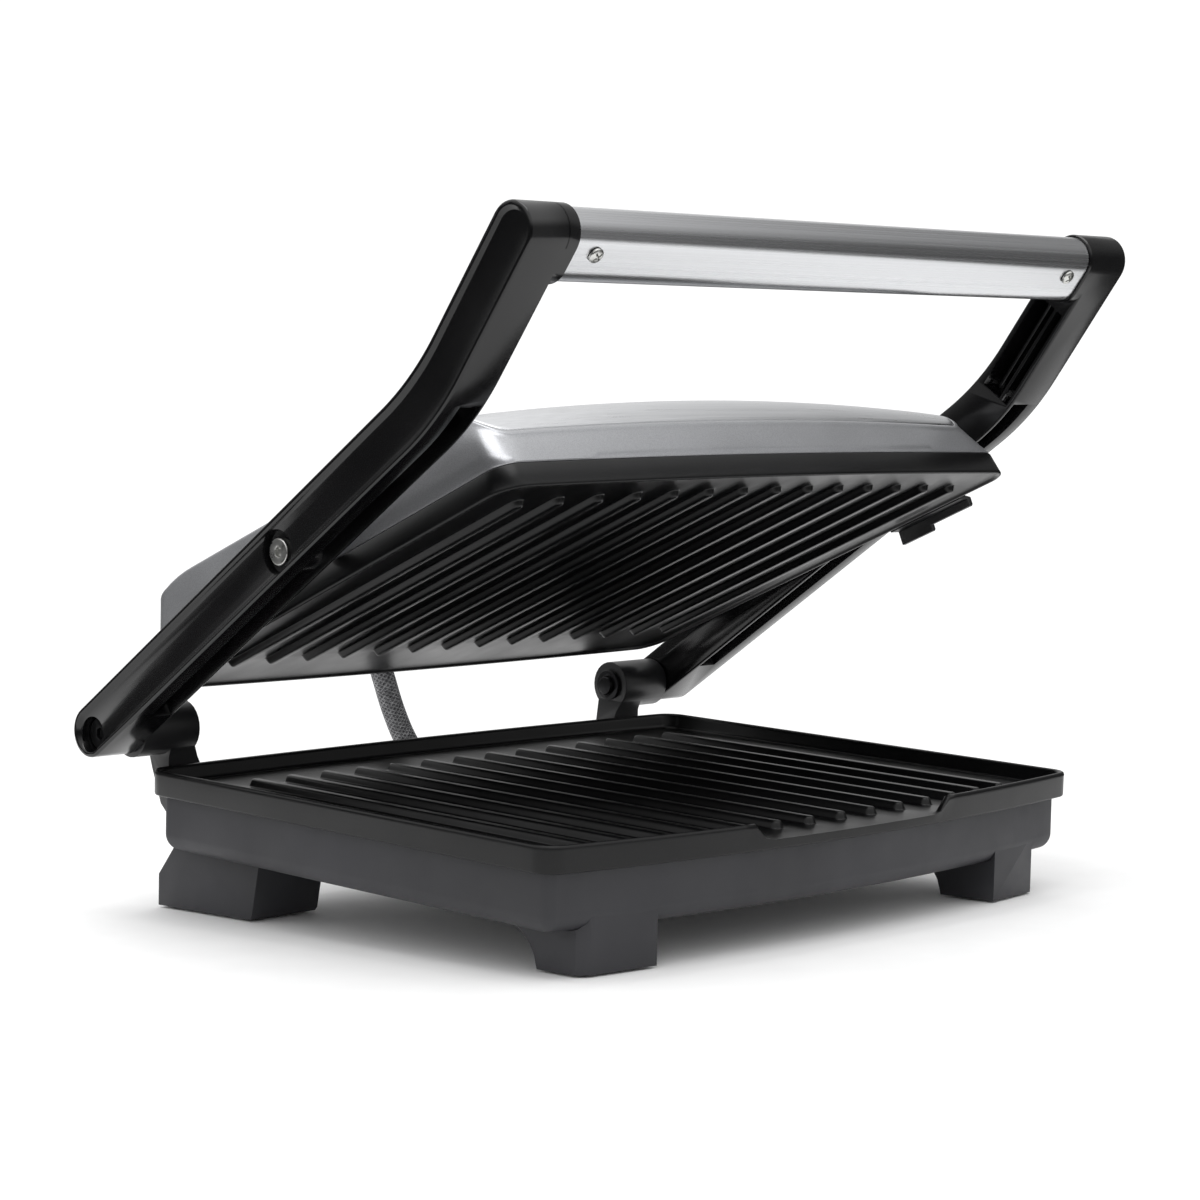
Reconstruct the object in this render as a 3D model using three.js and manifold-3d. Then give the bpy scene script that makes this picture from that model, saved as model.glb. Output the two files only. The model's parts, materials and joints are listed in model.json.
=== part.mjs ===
// Countertop panini press, half open on its floating hinge.
// Millimetres. +Z is up, the front (handle) side faces -Y and +X is to the user's right.
// The base leans forward on taller rear feet, so fat runs to the notch in the front rim.
import * as THREE from 'three';
import { mergeVertices } from 'three/addons/utils/BufferGeometryUtils.js';
import Module from 'manifold-3d';

const wasm = await Module();
wasm.setup();

// ---------------------------------------------------------------------------
// Driving dimensions
// ---------------------------------------------------------------------------
const clearance = 0.3;                       // gap kept between neighbouring pieces

// Base frame: origin on the table below the middle of the base, Z square to the plates
const forwardLean = 2.73;                    // degrees that the base leans towards its front
const baseHalfWidth = 153;
const baseFront = 127.5;                     // front edge at its furthest, in the middle
const baseRear = 123.5;
const baseFrontBow = 12;
const baseRearBow = 4.5;
const baseCorner = 10;
const rimTop = 55.1;
const rimBottom = 44.75;
const rimDraft = 0.4;                        // the rim tapers in towards its lower edge
const rimThickness = 3;
const plateTop = 48.5;
const ridgeCount = 14;
const lowerRidgePitch = 18.4;
const lowerRidgeTop = 51.6;
const ridgeWidth = 5.8;
const ridgeEndMargin = 14.5;                 // front rim to the tips of the ridges
const lowerRidgeRear = 92;
const notchHalfBottom = 51;
const notchHalfTop = 53.5;

const casingInset = 4.9;                     // casing wall behind the rim's outer edge
const casingBottom = 22;
const casingWall = 2.6;
const ventCount = 9;
const ventPitch = 16;

const footInner = 99;                        // feet run between these distances from the middle
const footOuter = 133;
const footLift = 1;                          // feet stop short of the table, pads reach it
const padDepth = 2.4;

// Hinge
const hingeY = 130.5;
const hingeZ = 68.8;
const hingePinRadius = 4;
const barrelRadius = 10.8;
const barrelInner = 124.5;
const barrelOuter = 151.5;
const webOuter = 137;                        // upright web between the casing and the barrel

// Arms, drawn in the closed pose from the hinge axis, forward along -Y
const armOuter = 171.5;
const armInner = 152;
const armHalfWidth = 10.3;
const armMiddle = 1.3;                       // lower length's centre line above the hinge axis
const armReachAngle = 19.4;                  // upper length climbs by this from the lower one
const armUpperNear = -68.6;                  // upper length's edges, measured square to it
const armUpperFar = -89.1;
const armUpperEnd = 311.3;                   // tip, measured along the upper length
const armBlend = 20;                         // length over which each edge turns
const armRestAngle = 35.1;
const sleeveInner = 147.4;                   // handle socket reaches in to here
const handleLength = 30;                     // long side of the handle's section
const tubeWall = 1.3;
const tubeInset = 1.2;                       // tube is this much smaller than the socket

// Lid, drawn flat from the pivot axis; depth runs back from the lid's front edge
const pivotForward = 140.4;                  // pivot in front of the hinge, arms closed
const pivotRise = 0.49;
const pivotDepth = 101;                      // pivot behind the lid's front corners
const pivotHeight = 14.3;                    // pivot above the lid's lower rim plane
const lidTurn = 10.85;                       // lid turned back against the arms at rest
const lidHalfWidth = 146;
const lidFront = 5;                          // front edge's furthest point ahead of the corners
const lidRear = 230.5;
const lidFrontBow = 3.5;
const lidRearBow = 3;
const lidCorner = 12;
const lidRimHeight = 9.9;
const lidRimDraft = 2;
const lidPlateRecess = 1.2;
const upperRidgePitch = 19.25;
const upperRidgeDrop = 1.6;                  // ridges stand this far below the rim
const upperRidgeRear = 199;
const upperRidgeMargin = 13.7;               // front rim to the ridge tips in the middle
const upperRidgeBow = 3.8;                   // and how much further at the sides
const shellWall = 2.4;
const seamInset = 8.5;                       // shell's upper edge inside the rim, front and sides
const seamRearInset = 4;                     // and at the rear, where the wall is nearly upright
const seamCorner = 11;
const seamLip = 1.2;                         // width of the shell's edge round the top panel
const seamGap = 0.5;

// Lead between base and lid
const conduitRadius = 5.5;
const conduitSides = 10;

// ---------------------------------------------------------------------------
// Materials
// ---------------------------------------------------------------------------
function material(color, roughness, metalness) {
  return new THREE.MeshStandardMaterial({ color, roughness, metalness, flatShading: true });
}

const coatedPlate = () => material(0x242424, 0.42, 0.25);
const charcoalPlastic = () => material(0x404044, 0.55, 0);
const glossBlackPlastic = () => material(0x0c0c0d, 0.16, 0);
const blackPlastic = () => material(0x141415, 0.4, 0);
const silverShell = () => material(0xa9aaac, 0.32, 0.6);
const silverPanel = () => material(0xd3d4d6, 0.3, 0.6);
const brushedSteel = () => material(0xc4c5c7, 0.24, 1);
const platedSteel = () => material(0xb5b5b2, 0.35, 1);
const blackenedSteel = () => material(0x1b1b1c, 0.4, 0.7);
const heaterSheath = () => material(0x7c7a74, 0.5, 0.9);
const sheetAluminium = () => material(0xbfc1c4, 0.4, 1);
const padRubber = () => material(0x1a1a1a, 0.9, 0);
const ceramic = () => material(0xe6e0d2, 0.7, 0);
const braidedSleeve = () => material(0x6a6a68, 0.75, 0.2);
const redLens = () => material(0xa81612, 0.2, 0);
const greenLens = () => material(0x1c8a34, 0.2, 0);

// ---------------------------------------------------------------------------
// Solids
// ---------------------------------------------------------------------------
const radians = THREE.MathUtils.degToRad;

function toSolid(geometry) {
  const bare = geometry.clone();
  bare.deleteAttribute('normal');
  bare.deleteAttribute('uv');
  const merged = mergeVertices(bare, 1e-4);
  const corners = merged.index.array;
  const kept = [];
  for (let i = 0; i < corners.length; i += 3) {
    const [a, b, c] = corners.slice(i, i + 3);
    if (a !== b && b !== c && c !== a) kept.push(a, b, c);
  }
  return new wasm.Manifold(new wasm.Mesh({
    numProp: 3,
    vertProperties: Float32Array.from(merged.attributes.position.array),
    triVerts: Uint32Array.from(kept),
  }));
}

function toGeometry(solid) {
  const mesh = solid.getMesh();
  const geometry = new THREE.BufferGeometry();
  geometry.setAttribute('position', new THREE.BufferAttribute(mesh.vertProperties, 3));
  geometry.setIndex(new THREE.BufferAttribute(mesh.triVerts, 1));
  geometry.computeVertexNormals();
  return geometry;
}

function join(first, ...others) {
  return toGeometry(others.reduce((sum, other) => sum.add(toSolid(other)), toSolid(first)));
}

function cut(first, ...others) {
  return toGeometry(others.reduce((rest, other) => rest.subtract(toSolid(other)), toSolid(first)));
}

function common(first, ...others) {
  return toGeometry(others.reduce((both, other) => both.intersect(toSolid(other)), toSolid(first)));
}

function box(x, y, z) {
  const geometry = new THREE.BoxGeometry(x[1] - x[0], y[1] - y[0], z[1] - z[0]);
  return geometry.translate((x[0] + x[1]) / 2, (y[0] + y[1]) / 2, (z[0] + z[1]) / 2);
}

// Round bar along X, from x[0] to x[1]
function barX(radius, x, y, z, sides = 24) {
  const geometry = new THREE.CylinderGeometry(radius, radius, x[1] - x[0], sides);
  return geometry.rotateZ(Math.PI / 2).translate((x[0] + x[1]) / 2, y, z);
}

// Round bar along Y
function barY(radius, x, y, z, sides = 24) {
  const geometry = new THREE.CylinderGeometry(radius, radius, y[1] - y[0], sides);
  return geometry.translate(x, (y[0] + y[1]) / 2, z);
}

// Round bar along Z
function barZ(radius, x, y, z, sides = 24) {
  const geometry = new THREE.CylinderGeometry(radius, radius, z[1] - z[0], sides);
  return geometry.rotateX(Math.PI / 2).translate(x, y, (z[0] + z[1]) / 2);
}

// Plan outline (x, y) pulled up from z[0] to z[1]
function upright(points, z) {
  const shape = new THREE.Shape(points);
  const geometry = new THREE.ExtrudeGeometry(shape, { depth: z[1] - z[0], bevelEnabled: false });
  return geometry.translate(0, 0, z[0]);
}

// Side outline (y, z) pulled across from x[0] to x[1]
function crosswise(points, x) {
  const shape = new THREE.Shape(points);
  const geometry = new THREE.ExtrudeGeometry(shape, { depth: x[1] - x[0], bevelEnabled: false });
  const turn = new THREE.Matrix4().makeBasis(
    new THREE.Vector3(0, 1, 0), new THREE.Vector3(0, 0, 1), new THREE.Vector3(1, 0, 0));
  return geometry.applyMatrix4(turn).translate(x[0], 0, 0);
}

// Closed body through a stack of rings, each the same number of points, listed bottom to top
// and running anticlockwise as seen from above
function loft(rings) {
  const count = rings[0].length;
  const position = rings.flat().flatMap((point) => [point.x, point.y, point.z]);
  const index = [];
  for (let ring = 0; ring + 1 < rings.length; ring += 1) {
    for (let i = 0; i < count; i += 1) {
      const next = (i + 1) % count;
      const a = ring * count + i;
      const b = ring * count + next;
      index.push(a, b, b + count, a, b + count, a + count);
    }
  }
  const capAt = (ring) => THREE.ShapeUtils.triangulateShape(
    rings[ring].map((point) => new THREE.Vector2(point.x, point.y)), []);
  const last = rings.length - 1;
  for (const [a, b, c] of capAt(0)) index.push(c, b, a);
  for (const [a, b, c] of capAt(last)) {
    index.push(last * count + a, last * count + b, last * count + c);
  }
  const geometry = new THREE.BufferGeometry();
  geometry.setAttribute('position', new THREE.Float32BufferAttribute(position, 3));
  geometry.setIndex(index);
  geometry.computeVertexNormals();
  return geometry;
}

// Closed ring-shaped body: the rings run up its outside, over, and down its inside
function hoop(rings) {
  const count = rings[0].length;
  const position = rings.flat().flatMap((point) => [point.x, point.y, point.z]);
  const index = [];
  for (let ring = 0; ring < rings.length; ring += 1) {
    const above = ((ring + 1) % rings.length) * count;
    for (let i = 0; i < count; i += 1) {
      const next = (i + 1) % count;
      const a = ring * count + i;
      const b = ring * count + next;
      index.push(a, b, above + next, a, above + next, above + i);
    }
  }
  const geometry = new THREE.BufferGeometry();
  geometry.setAttribute('position', new THREE.Float32BufferAttribute(position, 3));
  geometry.setIndex(index);
  return geometry;
}

// ---------------------------------------------------------------------------
// Plan outline shared by the plates, the casing and the lid:
// straight sides, round corners, front and rear edges bowed outwards
// ---------------------------------------------------------------------------
const basePlan = {
  halfWidth: baseHalfWidth, front: -baseFront, rear: baseRear,
  frontBow: baseFrontBow, rearBow: baseRearBow, corner: baseCorner, stations: [],
};
const lidStations = [0.035, 0.07, 0.115, 0.5];  // shares of the way from front to rear
const lidPlan = {
  halfWidth: lidHalfWidth, front: -lidFront - pivotDepth, rear: lidRear - pivotDepth,
  frontBow: lidFrontBow, rearBow: lidRearBow, corner: lidCorner, stations: lidStations,
};
const seamPlan = {
  halfWidth: lidHalfWidth - seamInset, front: lidPlan.front + seamInset,
  rear: lidPlan.rear - seamRearInset, frontBow: lidFrontBow, rearBow: lidRearBow,
  corner: seamCorner, stations: lidStations,
};
const cornerSteps = 3;
const bowSteps = 8;

// Anticlockwise from the right side's rear; stations are extra points along the sides
function outline(plan, inset = 0) {
  const halfWidth = plan.halfWidth - inset;
  const radius = Math.max(plan.corner - inset, 2);
  // one end: side -1 is the front, +1 the rear
  const end = (side, edge, bow) => {
    const reach = halfWidth - radius;
    const slope = Math.atan(2 * bow / reach);
    const centre = edge - side * (bow + radius);
    const corner = (sign) => {
      const arc = [];
      for (let i = 0; i <= cornerSteps; i += 1) {
        const angle = (Math.PI / 2 - slope) * i / cornerSteps;
        arc.push(new THREE.Vector2(
          sign * (reach + radius * Math.cos(angle)), centre + side * radius * Math.sin(angle)));
      }
      return arc;
    };
    const right = corner(1);
    const start = right[cornerSteps];
    const bowed = [];
    for (let i = 1; i < bowSteps; i += 1) {
      const x = start.x * (1 - 2 * i / bowSteps);
      const share = 1 - (x / start.x) ** 2;
      bowed.push(new THREE.Vector2(x, start.y + (edge - start.y) * share));
    }
    return [...right, ...bowed, ...corner(-1).reverse()];
  };
  const rear = end(1, plan.rear - inset, plan.rearBow);
  const front = end(-1, plan.front + inset, plan.frontBow).reverse();
  const sidePoints = (x) => plan.stations.map(
    (share) => new THREE.Vector2(x, THREE.MathUtils.lerp(front[0].y, rear[0].y, share)));
  return [...rear, ...sidePoints(-halfWidth).reverse(), ...front, ...sidePoints(halfWidth)];
}

function ring(plan, inset, height) {
  const heightAt = typeof height === 'function' ? height : () => height;
  return outline(plan, inset).map(
    (point) => new THREE.Vector3(point.x, point.y, heightAt(point.x, point.y)));
}

// Front or rear edge of a plan at x
function edgeAt(plan, side, x) {
  const reach = plan.halfWidth - plan.corner;
  const [edge, bow] = side < 0 ? [plan.front, plan.frontBow] : [plan.rear, plan.rearBow];
  return edge - side * bow * Math.min(1, (x / reach) ** 2);
}

// Round-ended grill ridge from y[0] to y[1] with bevelled shoulders, rising or hanging
function ridge(x, y, root, crest) {
  const radius = ridgeWidth / 2;
  const shoulder = 1.6;
  const endSteps = 3;
  const shape = [];
  for (const [centre, turn] of [[y[1] - radius, 0], [y[0] + radius, Math.PI]]) {
    for (let i = 0; i <= endSteps; i += 1) {
      const angle = turn + Math.PI * i / endSteps;
      shape.push([Math.cos(angle), Math.sin(angle), centre]);
    }
  }
  const level = (inset, z) => shape.map(([cos, sin, centre]) => new THREE.Vector3(
    x + (radius - inset) * cos, centre + (radius - inset) * sin, z));
  const rise = Math.sign(crest - root);
  const levels = [level(0, root), level(0.4, crest - rise * shoulder), level(shoulder, crest)];
  return loft(rise > 0 ? levels : levels.reverse());
}

// ---------------------------------------------------------------------------
// Scene graph
// ---------------------------------------------------------------------------
const press = new THREE.Group();
const base = new THREE.Group();
const arms = new THREE.Group();
const lid = new THREE.Group();
press.add(base);
base.add(arms);
arms.add(lid);
base.rotation.x = radians(forwardLean);
arms.position.set(0, hingeY, hingeZ);
arms.rotation.x = -radians(armRestAngle);
lid.position.set(0, -pivotForward, pivotRise);
lid.rotation.x = radians(lidTurn);

function add(group, name, geometry, finish) {
  const mesh = new THREE.Mesh(geometry, finish);
  mesh.name = name;
  group.add(mesh);
}

const sides = [['left', -1], ['right', 1]];
const sorted = (a, b) => [Math.min(a, b), Math.max(a, b)];
const span = (sign, a, b) => sorted(sign * a, sign * b);

// ---------------------------------------------------------------------------
// Base: grill plate, casing, feet
// ---------------------------------------------------------------------------
function lowerGrillPlate() {
  const rimWall = loft([
    ring(basePlan, rimDraft, rimBottom),
    ring(basePlan, 0, rimTop - 1.5),
    ring(basePlan, 0.7, rimTop),
  ]);
  const pan = loft([
    ring(basePlan, rimThickness + 1.2, plateTop),
    ring(basePlan, rimThickness, rimTop + 1),
  ]);
  const notch = crossFront(notchHalfBottom, notchHalfTop);
  const ridges = [];
  for (let i = 0; i < ridgeCount; i += 1) {
    const x = (i - (ridgeCount - 1) / 2) * lowerRidgePitch;
    const front = edgeAt(basePlan, -1, x) + ridgeEndMargin;
    ridges.push(ridge(x, [front, lowerRidgeRear], plateTop - 1, lowerRidgeTop));
  }
  return join(cut(rimWall, pan, notch), ...ridges);
}

// Notch through the front rim, wider at its top
function crossFront(bottom, top) {
  const low = plateTop;
  const high = rimTop + 1;
  const shape = new THREE.Shape([
    new THREE.Vector2(-bottom, low), new THREE.Vector2(bottom, low),
    new THREE.Vector2(top, high), new THREE.Vector2(-top, high),
  ]);
  const depth = 20;
  const geometry = new THREE.ExtrudeGeometry(shape, { depth, bevelEnabled: false });
  return geometry.rotateX(Math.PI / 2).translate(0, -baseFront + depth - 4, 0);
}

const casingTop = rimBottom - clearance;
const casingOuter = () => loft([
  ring(basePlan, casingInset + 6, casingBottom),
  ring(basePlan, casingInset + 3, casingBottom + 1.2),
  ring(basePlan, casingInset + 1, casingBottom + 3.6),
  ring(basePlan, casingInset + 0.4, casingBottom + 7),
  ring(basePlan, casingInset, casingTop),
]);
const casingGrown = () => loft([
  ring(basePlan, casingInset + 6 - clearance, casingBottom - clearance),
  ring(basePlan, casingInset + 3 - clearance, casingBottom + 1.2 - clearance),
  ring(basePlan, casingInset + 1 - clearance, casingBottom + 3.6 - clearance),
  ring(basePlan, casingInset + 0.4 - clearance, casingBottom + 7),
  ring(basePlan, casingInset - clearance, casingTop + 1),
]);

const conduitBaseX = 13;                     // lead enters the base's rear wall here
const conduitBaseZ = 35;
const glandX = -62;
const glandZ = 33;
const glandRadius = 6;

function baseCasing() {
  const hollow = loft([
    ring(basePlan, casingInset + casingWall + 4, casingBottom + casingWall),
    ring(basePlan, casingInset + casingWall, casingBottom + casingWall + 5),
    ring(basePlan, casingInset + casingWall, casingTop + 1),
  ]);
  const vents = [];
  for (const row of [-60, 55]) {
    for (let i = 0; i < ventCount; i += 1) {
      const x = (i - (ventCount - 1) / 2) * ventPitch;
      vents.push(box([x - 2, x + 2], [row - 18, row + 18], [casingBottom - 1, casingBottom + 4]));
    }
  }
  const rearHole = (x, z, radius) => barY(radius, x, [95, 130], z, 16);
  return cut(casingOuter(), hollow, ...vents,
    rearHole(conduitBaseX, conduitBaseZ, conduitRadius + 2.5),
    rearHole(glandX, glandZ, glandRadius + 0.5));
}

// Slab between two heights above the table, in the leaning base frame
function aboveTable(low, high) {
  return box([-200, 200], [-200, 200], [low, high]).rotateX(-radians(forwardLean));
}

function curve(from, control, to, steps) {
  return new THREE.QuadraticBezierCurve(from, control, to).getPoints(steps);
}

const at = (x, y) => new THREE.Vector2(x, y);

const footSides = {
  // (y, z) outlines; the casing and the table trim them
  front: [
    at(-122, 32), at(-121, 2), at(-92.5, 2), at(-89.5, 4.5),
    ...curve(at(-88.5, 8), at(-86.5, 18), at(-69, 22.5), 6), at(-69, 32),
  ],
  rear: [
    at(69.5, 30), at(69.5, 23), at(74, -1), at(76.5, -4), at(76.5, -8), at(135.2, -8), at(135.2, 7.6),
    at(126, 19), at(121, 26), at(118, 30),
  ],
};
const casingFront = (x) => edgeAt(basePlan, -1, x) + casingInset + 0.2;
const footPlans = {
  // (x, y) outlines with their outer corners taken off; the front feet are flush with the casing
  front: [
    at(footInner, casingFront(footInner)), at(footOuter - 4, casingFront(footOuter - 4)),
    at(footOuter, casingFront(footOuter) + 3), at(footOuter, -67), at(footInner, -67),
  ],
  rear: [
    at(footInner, 67), at(footOuter - 1.5, 67), at(footOuter, 69), at(footOuter, 138),
    at(footInner, 138),
  ],
};
const padCentres = { front: [116, -101], rear: [116, 110] };
const padHalf = { front: [12, 8], rear: [12, 17] };

const mirrored = (points, sign) => {
  const flipped = points.map((point) => at(sign * point.x, point.y));
  return sign < 0 ? flipped.reverse() : flipped;
};

function padPrism(end, sign, grow) {
  const [x, y] = padCentres[end];
  const [halfX, halfY] = padHalf[end];
  return box(span(sign, x - halfX - grow, x + halfX + grow),
    [y - halfY - grow, y + halfY + grow], [-30, 30]);
}

const screwHeadZ = { front: 10.5, rear: 1 };
const screwHeadHeight = 2;

function foot(end, sign) {
  const [x, y] = padCentres[end];
  const headZ = screwHeadZ[end];
  const block = common(
    crosswise([...footSides[end]].reverse(), span(sign, footInner - 1, footOuter + 1)),
    upright(mirrored(footPlans[end], sign), [-30, 40]));
  const recess = common(padPrism(end, sign, clearance), aboveTable(-20, padDepth + clearance));
  const screwWay = barZ(2, sign * x, y, [headZ, 60], 12);
  const headWay = barZ(3.5, sign * x, y, [-20, headZ + screwHeadHeight + clearance], 16);
  return cut(block, casingGrown(), aboveTable(-60, footLift), recess, screwWay, headWay);
}

function footPad(end, sign) {
  return common(padPrism(end, sign, 0), aboveTable(0, padDepth));
}

function footScrew(end, sign) {
  const [x, y] = padCentres[end];
  const low = screwHeadZ[end];
  const head = barZ(3, sign * x, y, [low, low + screwHeadHeight], 16);
  return join(head, barZ(1.6, sign * x, y, [low + 1, casingBottom - 1], 12));
}

add(base, 'lower_grill_plate', lowerGrillPlate(), coatedPlate());
add(base, 'base_casing', baseCasing(), charcoalPlastic());
for (const end of ['front', 'rear']) {
  for (const [side, sign] of sides) {
    add(base, `foot_${end}_${side}`, foot(end, sign), charcoalPlastic());
    add(base, `foot_pad_${end}_${side}`, footPad(end, sign), padRubber());
    add(base, `foot_screw_${end}_${side}`, footScrew(end, sign), platedSteel());
  }
}

// ---------------------------------------------------------------------------
// Heating: a sheathed element against each plate, with its reflector and controls
// ---------------------------------------------------------------------------
const elementRadius = 3.3;
const elementTurn = 62;                      // radius of the element's hairpin turn
const elementStraight = 70;

// Round tube along a smooth route of points
function tube(route, radius, steps, count) {
  const section = [];
  for (let i = 0; i < count; i += 1) {
    const angle = 2 * Math.PI * i / count;
    section.push(at(radius * Math.cos(angle), radius * Math.sin(angle)));
  }
  const extrudePath = new THREE.CatmullRomCurve3(route, false, 'centripetal');
  return new THREE.ExtrudeGeometry(new THREE.Shape(section), { steps, extrudePath });
}

// Hairpin with its open end to the rear and its tails turned towards the plate's middle
function heatingElement(level, middle) {
  const route = [];
  const turnSteps = 8;
  route.push(new THREE.Vector3(elementTurn, middle + elementStraight, level));
  for (let i = 0; i <= turnSteps; i += 1) {
    const angle = -Math.PI * i / turnSteps;
    const x = elementTurn * Math.cos(angle);
    const y = middle - 20 + elementTurn * Math.sin(angle);
    route.push(new THREE.Vector3(x, y, level));
  }
  route.push(new THREE.Vector3(-elementTurn, middle + elementStraight, level));
  return tube(route, elementRadius, 26, 8);
}

// Shallow sheet dish under the element
function reflector(plan, inset, low, thickness, lip) {
  const outer = loft([ring(plan, inset + 3, low), ring(plan, inset, low + lip)]);
  const inner = loft([
    ring(plan, inset + 3 + thickness, low + thickness), ring(plan, inset + thickness, low + lip + 1),
  ]);
  return cut(outer, inner);
}

const thermostatDisc = { radius: 9, height: 7 };
const thermostatCollar = { radius: 6, height: 3 };
const tagReach = [8, 17];                    // spade tags, from the disc's middle
const tagHeight = [2, 3];

// Disc thermostat with two spade tags
function thermostat(x, y, z) {
  const disc = barZ(thermostatDisc.radius, x, y, [z, z + thermostatDisc.height], 16);
  const collar = barZ(thermostatCollar.radius, x, y, [z - thermostatCollar.height, z + 1], 16);
  const tags = [-4, 4].map((step) => box([x + step - 1, x + step + 1],
    tagReach.map((reach) => y + reach), tagHeight.map((height) => z + height)));
  return join(disc, collar, ...tags);
}

const elementLevel = rimBottom - clearance - elementRadius;
const reflectorLow = 28;
add(base, 'lower_heating_element', heatingElement(elementLevel, 0), heaterSheath());
add(base, 'lower_reflector', reflector(basePlan, 22, reflectorLow, 0.8, 5), sheetAluminium());
add(base, 'lower_thermostat', thermostat(0, 30, 32.5), ceramic());

const fuse = { x: -24, y: -40, z: 40, radius: 3, halfBody: 10, leadRadius: 0.9, halfLead: 20 };
const fuseBar = (radius, half, count) => barX(
  radius, [fuse.x - half, fuse.x + half], fuse.y, fuse.z, count);
add(base, 'thermal_fuse', join(
  fuseBar(fuse.radius, fuse.halfBody, 16), fuseBar(fuse.leadRadius, fuse.halfLead, 10)), ceramic());

const terminal = { x: [-52, -24], y: [78, 90], z: [30, 41], wayRadius: 2, wayZ: 37, wayPitch: 7 };
const terminalWays = [-1, 0, 1].map((step) => barY(
  terminal.wayRadius, (terminal.x[0] + terminal.x[1]) / 2 + step * terminal.wayPitch,
  [terminal.y[0] - 1, terminal.y[1] + 1], terminal.wayZ, 12));
add(base, 'terminal_block', cut(box(terminal.x, terminal.y, terminal.z), ...terminalWays), ceramic());

const flangeThickness = 2.5;
const flangeWidth = 2;
const bushingReach = 6;                      // how far a bushing reaches in from the wall's face

// Bushing in a wall that faces +Y, its flange against the wall's outer face
function grommet(x, face, z, radius, hole) {
  const flange = [face + clearance, face + clearance + flangeThickness];
  const inner = face - bushingReach;
  const body = join(
    barY(radius, x, [inner, flange[1]], z, 16), barY(radius + flangeWidth, x, flange, z, 16));
  return cut(body, barY(hole, x, [inner - 1, flange[1] + 1], z, 16));
}

const rearWall = (x) => edgeAt(basePlan, 1, x) - casingInset;
const conduitBushRadius = conduitRadius + 2;
const conduitBore = conduitRadius + 0.5;
add(base, 'mains_inlet_gland', grommet(
  glandX, rearWall(0), glandZ, glandRadius, 3.6), blackPlastic());
add(base, 'conduit_bushing_lower', grommet(
  conduitBaseX, rearWall(0), conduitBaseZ, conduitBushRadius, conduitBore), blackPlastic());

// ---------------------------------------------------------------------------
// Hinge: a bracket with a barrel behind each rear corner, its pin and clip
// ---------------------------------------------------------------------------
const rimClear = baseRear + 0.4;             // the web passes behind the rear rim
const clipOuter = barrelInner - clearance;
const clipThickness = 1.7;
const pinInner = clipOuter - clipThickness - 2;
const pinHead = [armOuter - 8, armOuter - 5];
const pinHeadRadius = 6.4;

// Piece of a (x, z) outline drawn for the right side, pulled through from y[0] to y[1]
function throughY(points, sign, y) {
  const shape = new THREE.Shape(mirrored(points, sign));
  const geometry = new THREE.ExtrudeGeometry(shape, { depth: y[1] - y[0], bevelEnabled: false });
  return geometry.rotateX(Math.PI / 2).translate(0, y[1], 0);
}

const webFoot = 117.5;                       // the web widens inwards to here below the clip

function hingeBracket(sign) {
  const wall = rearWall(barrelInner) + 0.4;
  const side = crosswise([
    at(wall, 31), at(wall + 5, 31), at(129, 38), at(135, 52), at(139.8, 66), at(130.5, 68.8),
    at(121.5, 66), at(rimClear, 57), at(rimClear, rimBottom - 0.6), at(wall, rimBottom - 0.6),
  ], span(sign, webFoot, webOuter));
  const taper = throughY([
    at(webFoot, 20), at(webOuter, 20), at(webOuter, 80), at(barrelInner, 80),
    at(barrelInner, 61.3), at(webFoot, 47),
  ], sign, [100, 150]);
  const web = common(side, taper);
  const barrel = barX(barrelRadius, span(sign, barrelInner, barrelOuter), hingeY, hingeZ, 28);
  const bore = barX(hingePinRadius + clearance, span(sign, barrelInner - 1, barrelOuter + 1),
    hingeY, hingeZ, 16);
  return cut(join(web, barrel), bore);
}

for (const [side, sign] of sides) {
  add(base, `hinge_bracket_${side}`, hingeBracket(sign), blackPlastic());
  const shaft = barX(hingePinRadius, span(sign, pinInner, pinHead[1]), hingeY, hingeZ, 16);
  const head = barX(pinHeadRadius, span(sign, ...pinHead), hingeY, hingeZ, 20);
  const socket = barX(2.6, span(sign, pinHead[0] + 1, pinHead[1] + 1), hingeY, hingeZ, 6);
  add(base, `hinge_pin_${side}`, cut(join(shaft, head), socket), blackenedSteel());
  const clip = barX(7, span(sign, clipOuter - clipThickness, clipOuter), hingeY, hingeZ, 16);
  const clipBore = barX(hingePinRadius + clearance, span(sign, pinInner - 1, clipOuter + 1),
    hingeY, hingeZ, 16);
  add(base, `hinge_clip_${side}`, cut(clip, clipBore), blackenedSteel());
}

// ---------------------------------------------------------------------------
// Arms
// ---------------------------------------------------------------------------
const climb = radians(armReachAngle);
// Point given along and square to the upper length, as (y, z) from the hinge
const onUpper = (along, square) => at(
  square * Math.sin(climb) - along * Math.cos(climb),
  square * Math.cos(climb) + along * Math.sin(climb));

// Smooth turn from a lower length's edge to the upper length's edge of the same side
function bend(edge, level) {
  const corner = at((edge - level * Math.cos(climb)) / Math.sin(climb), level);
  const before = at(corner.x + armBlend, level);
  const after = at(corner.x - armBlend * Math.cos(climb), level + armBlend * Math.sin(climb));
  return curve(before, corner, after, 5);
}

const roundSteps = 20;

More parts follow.
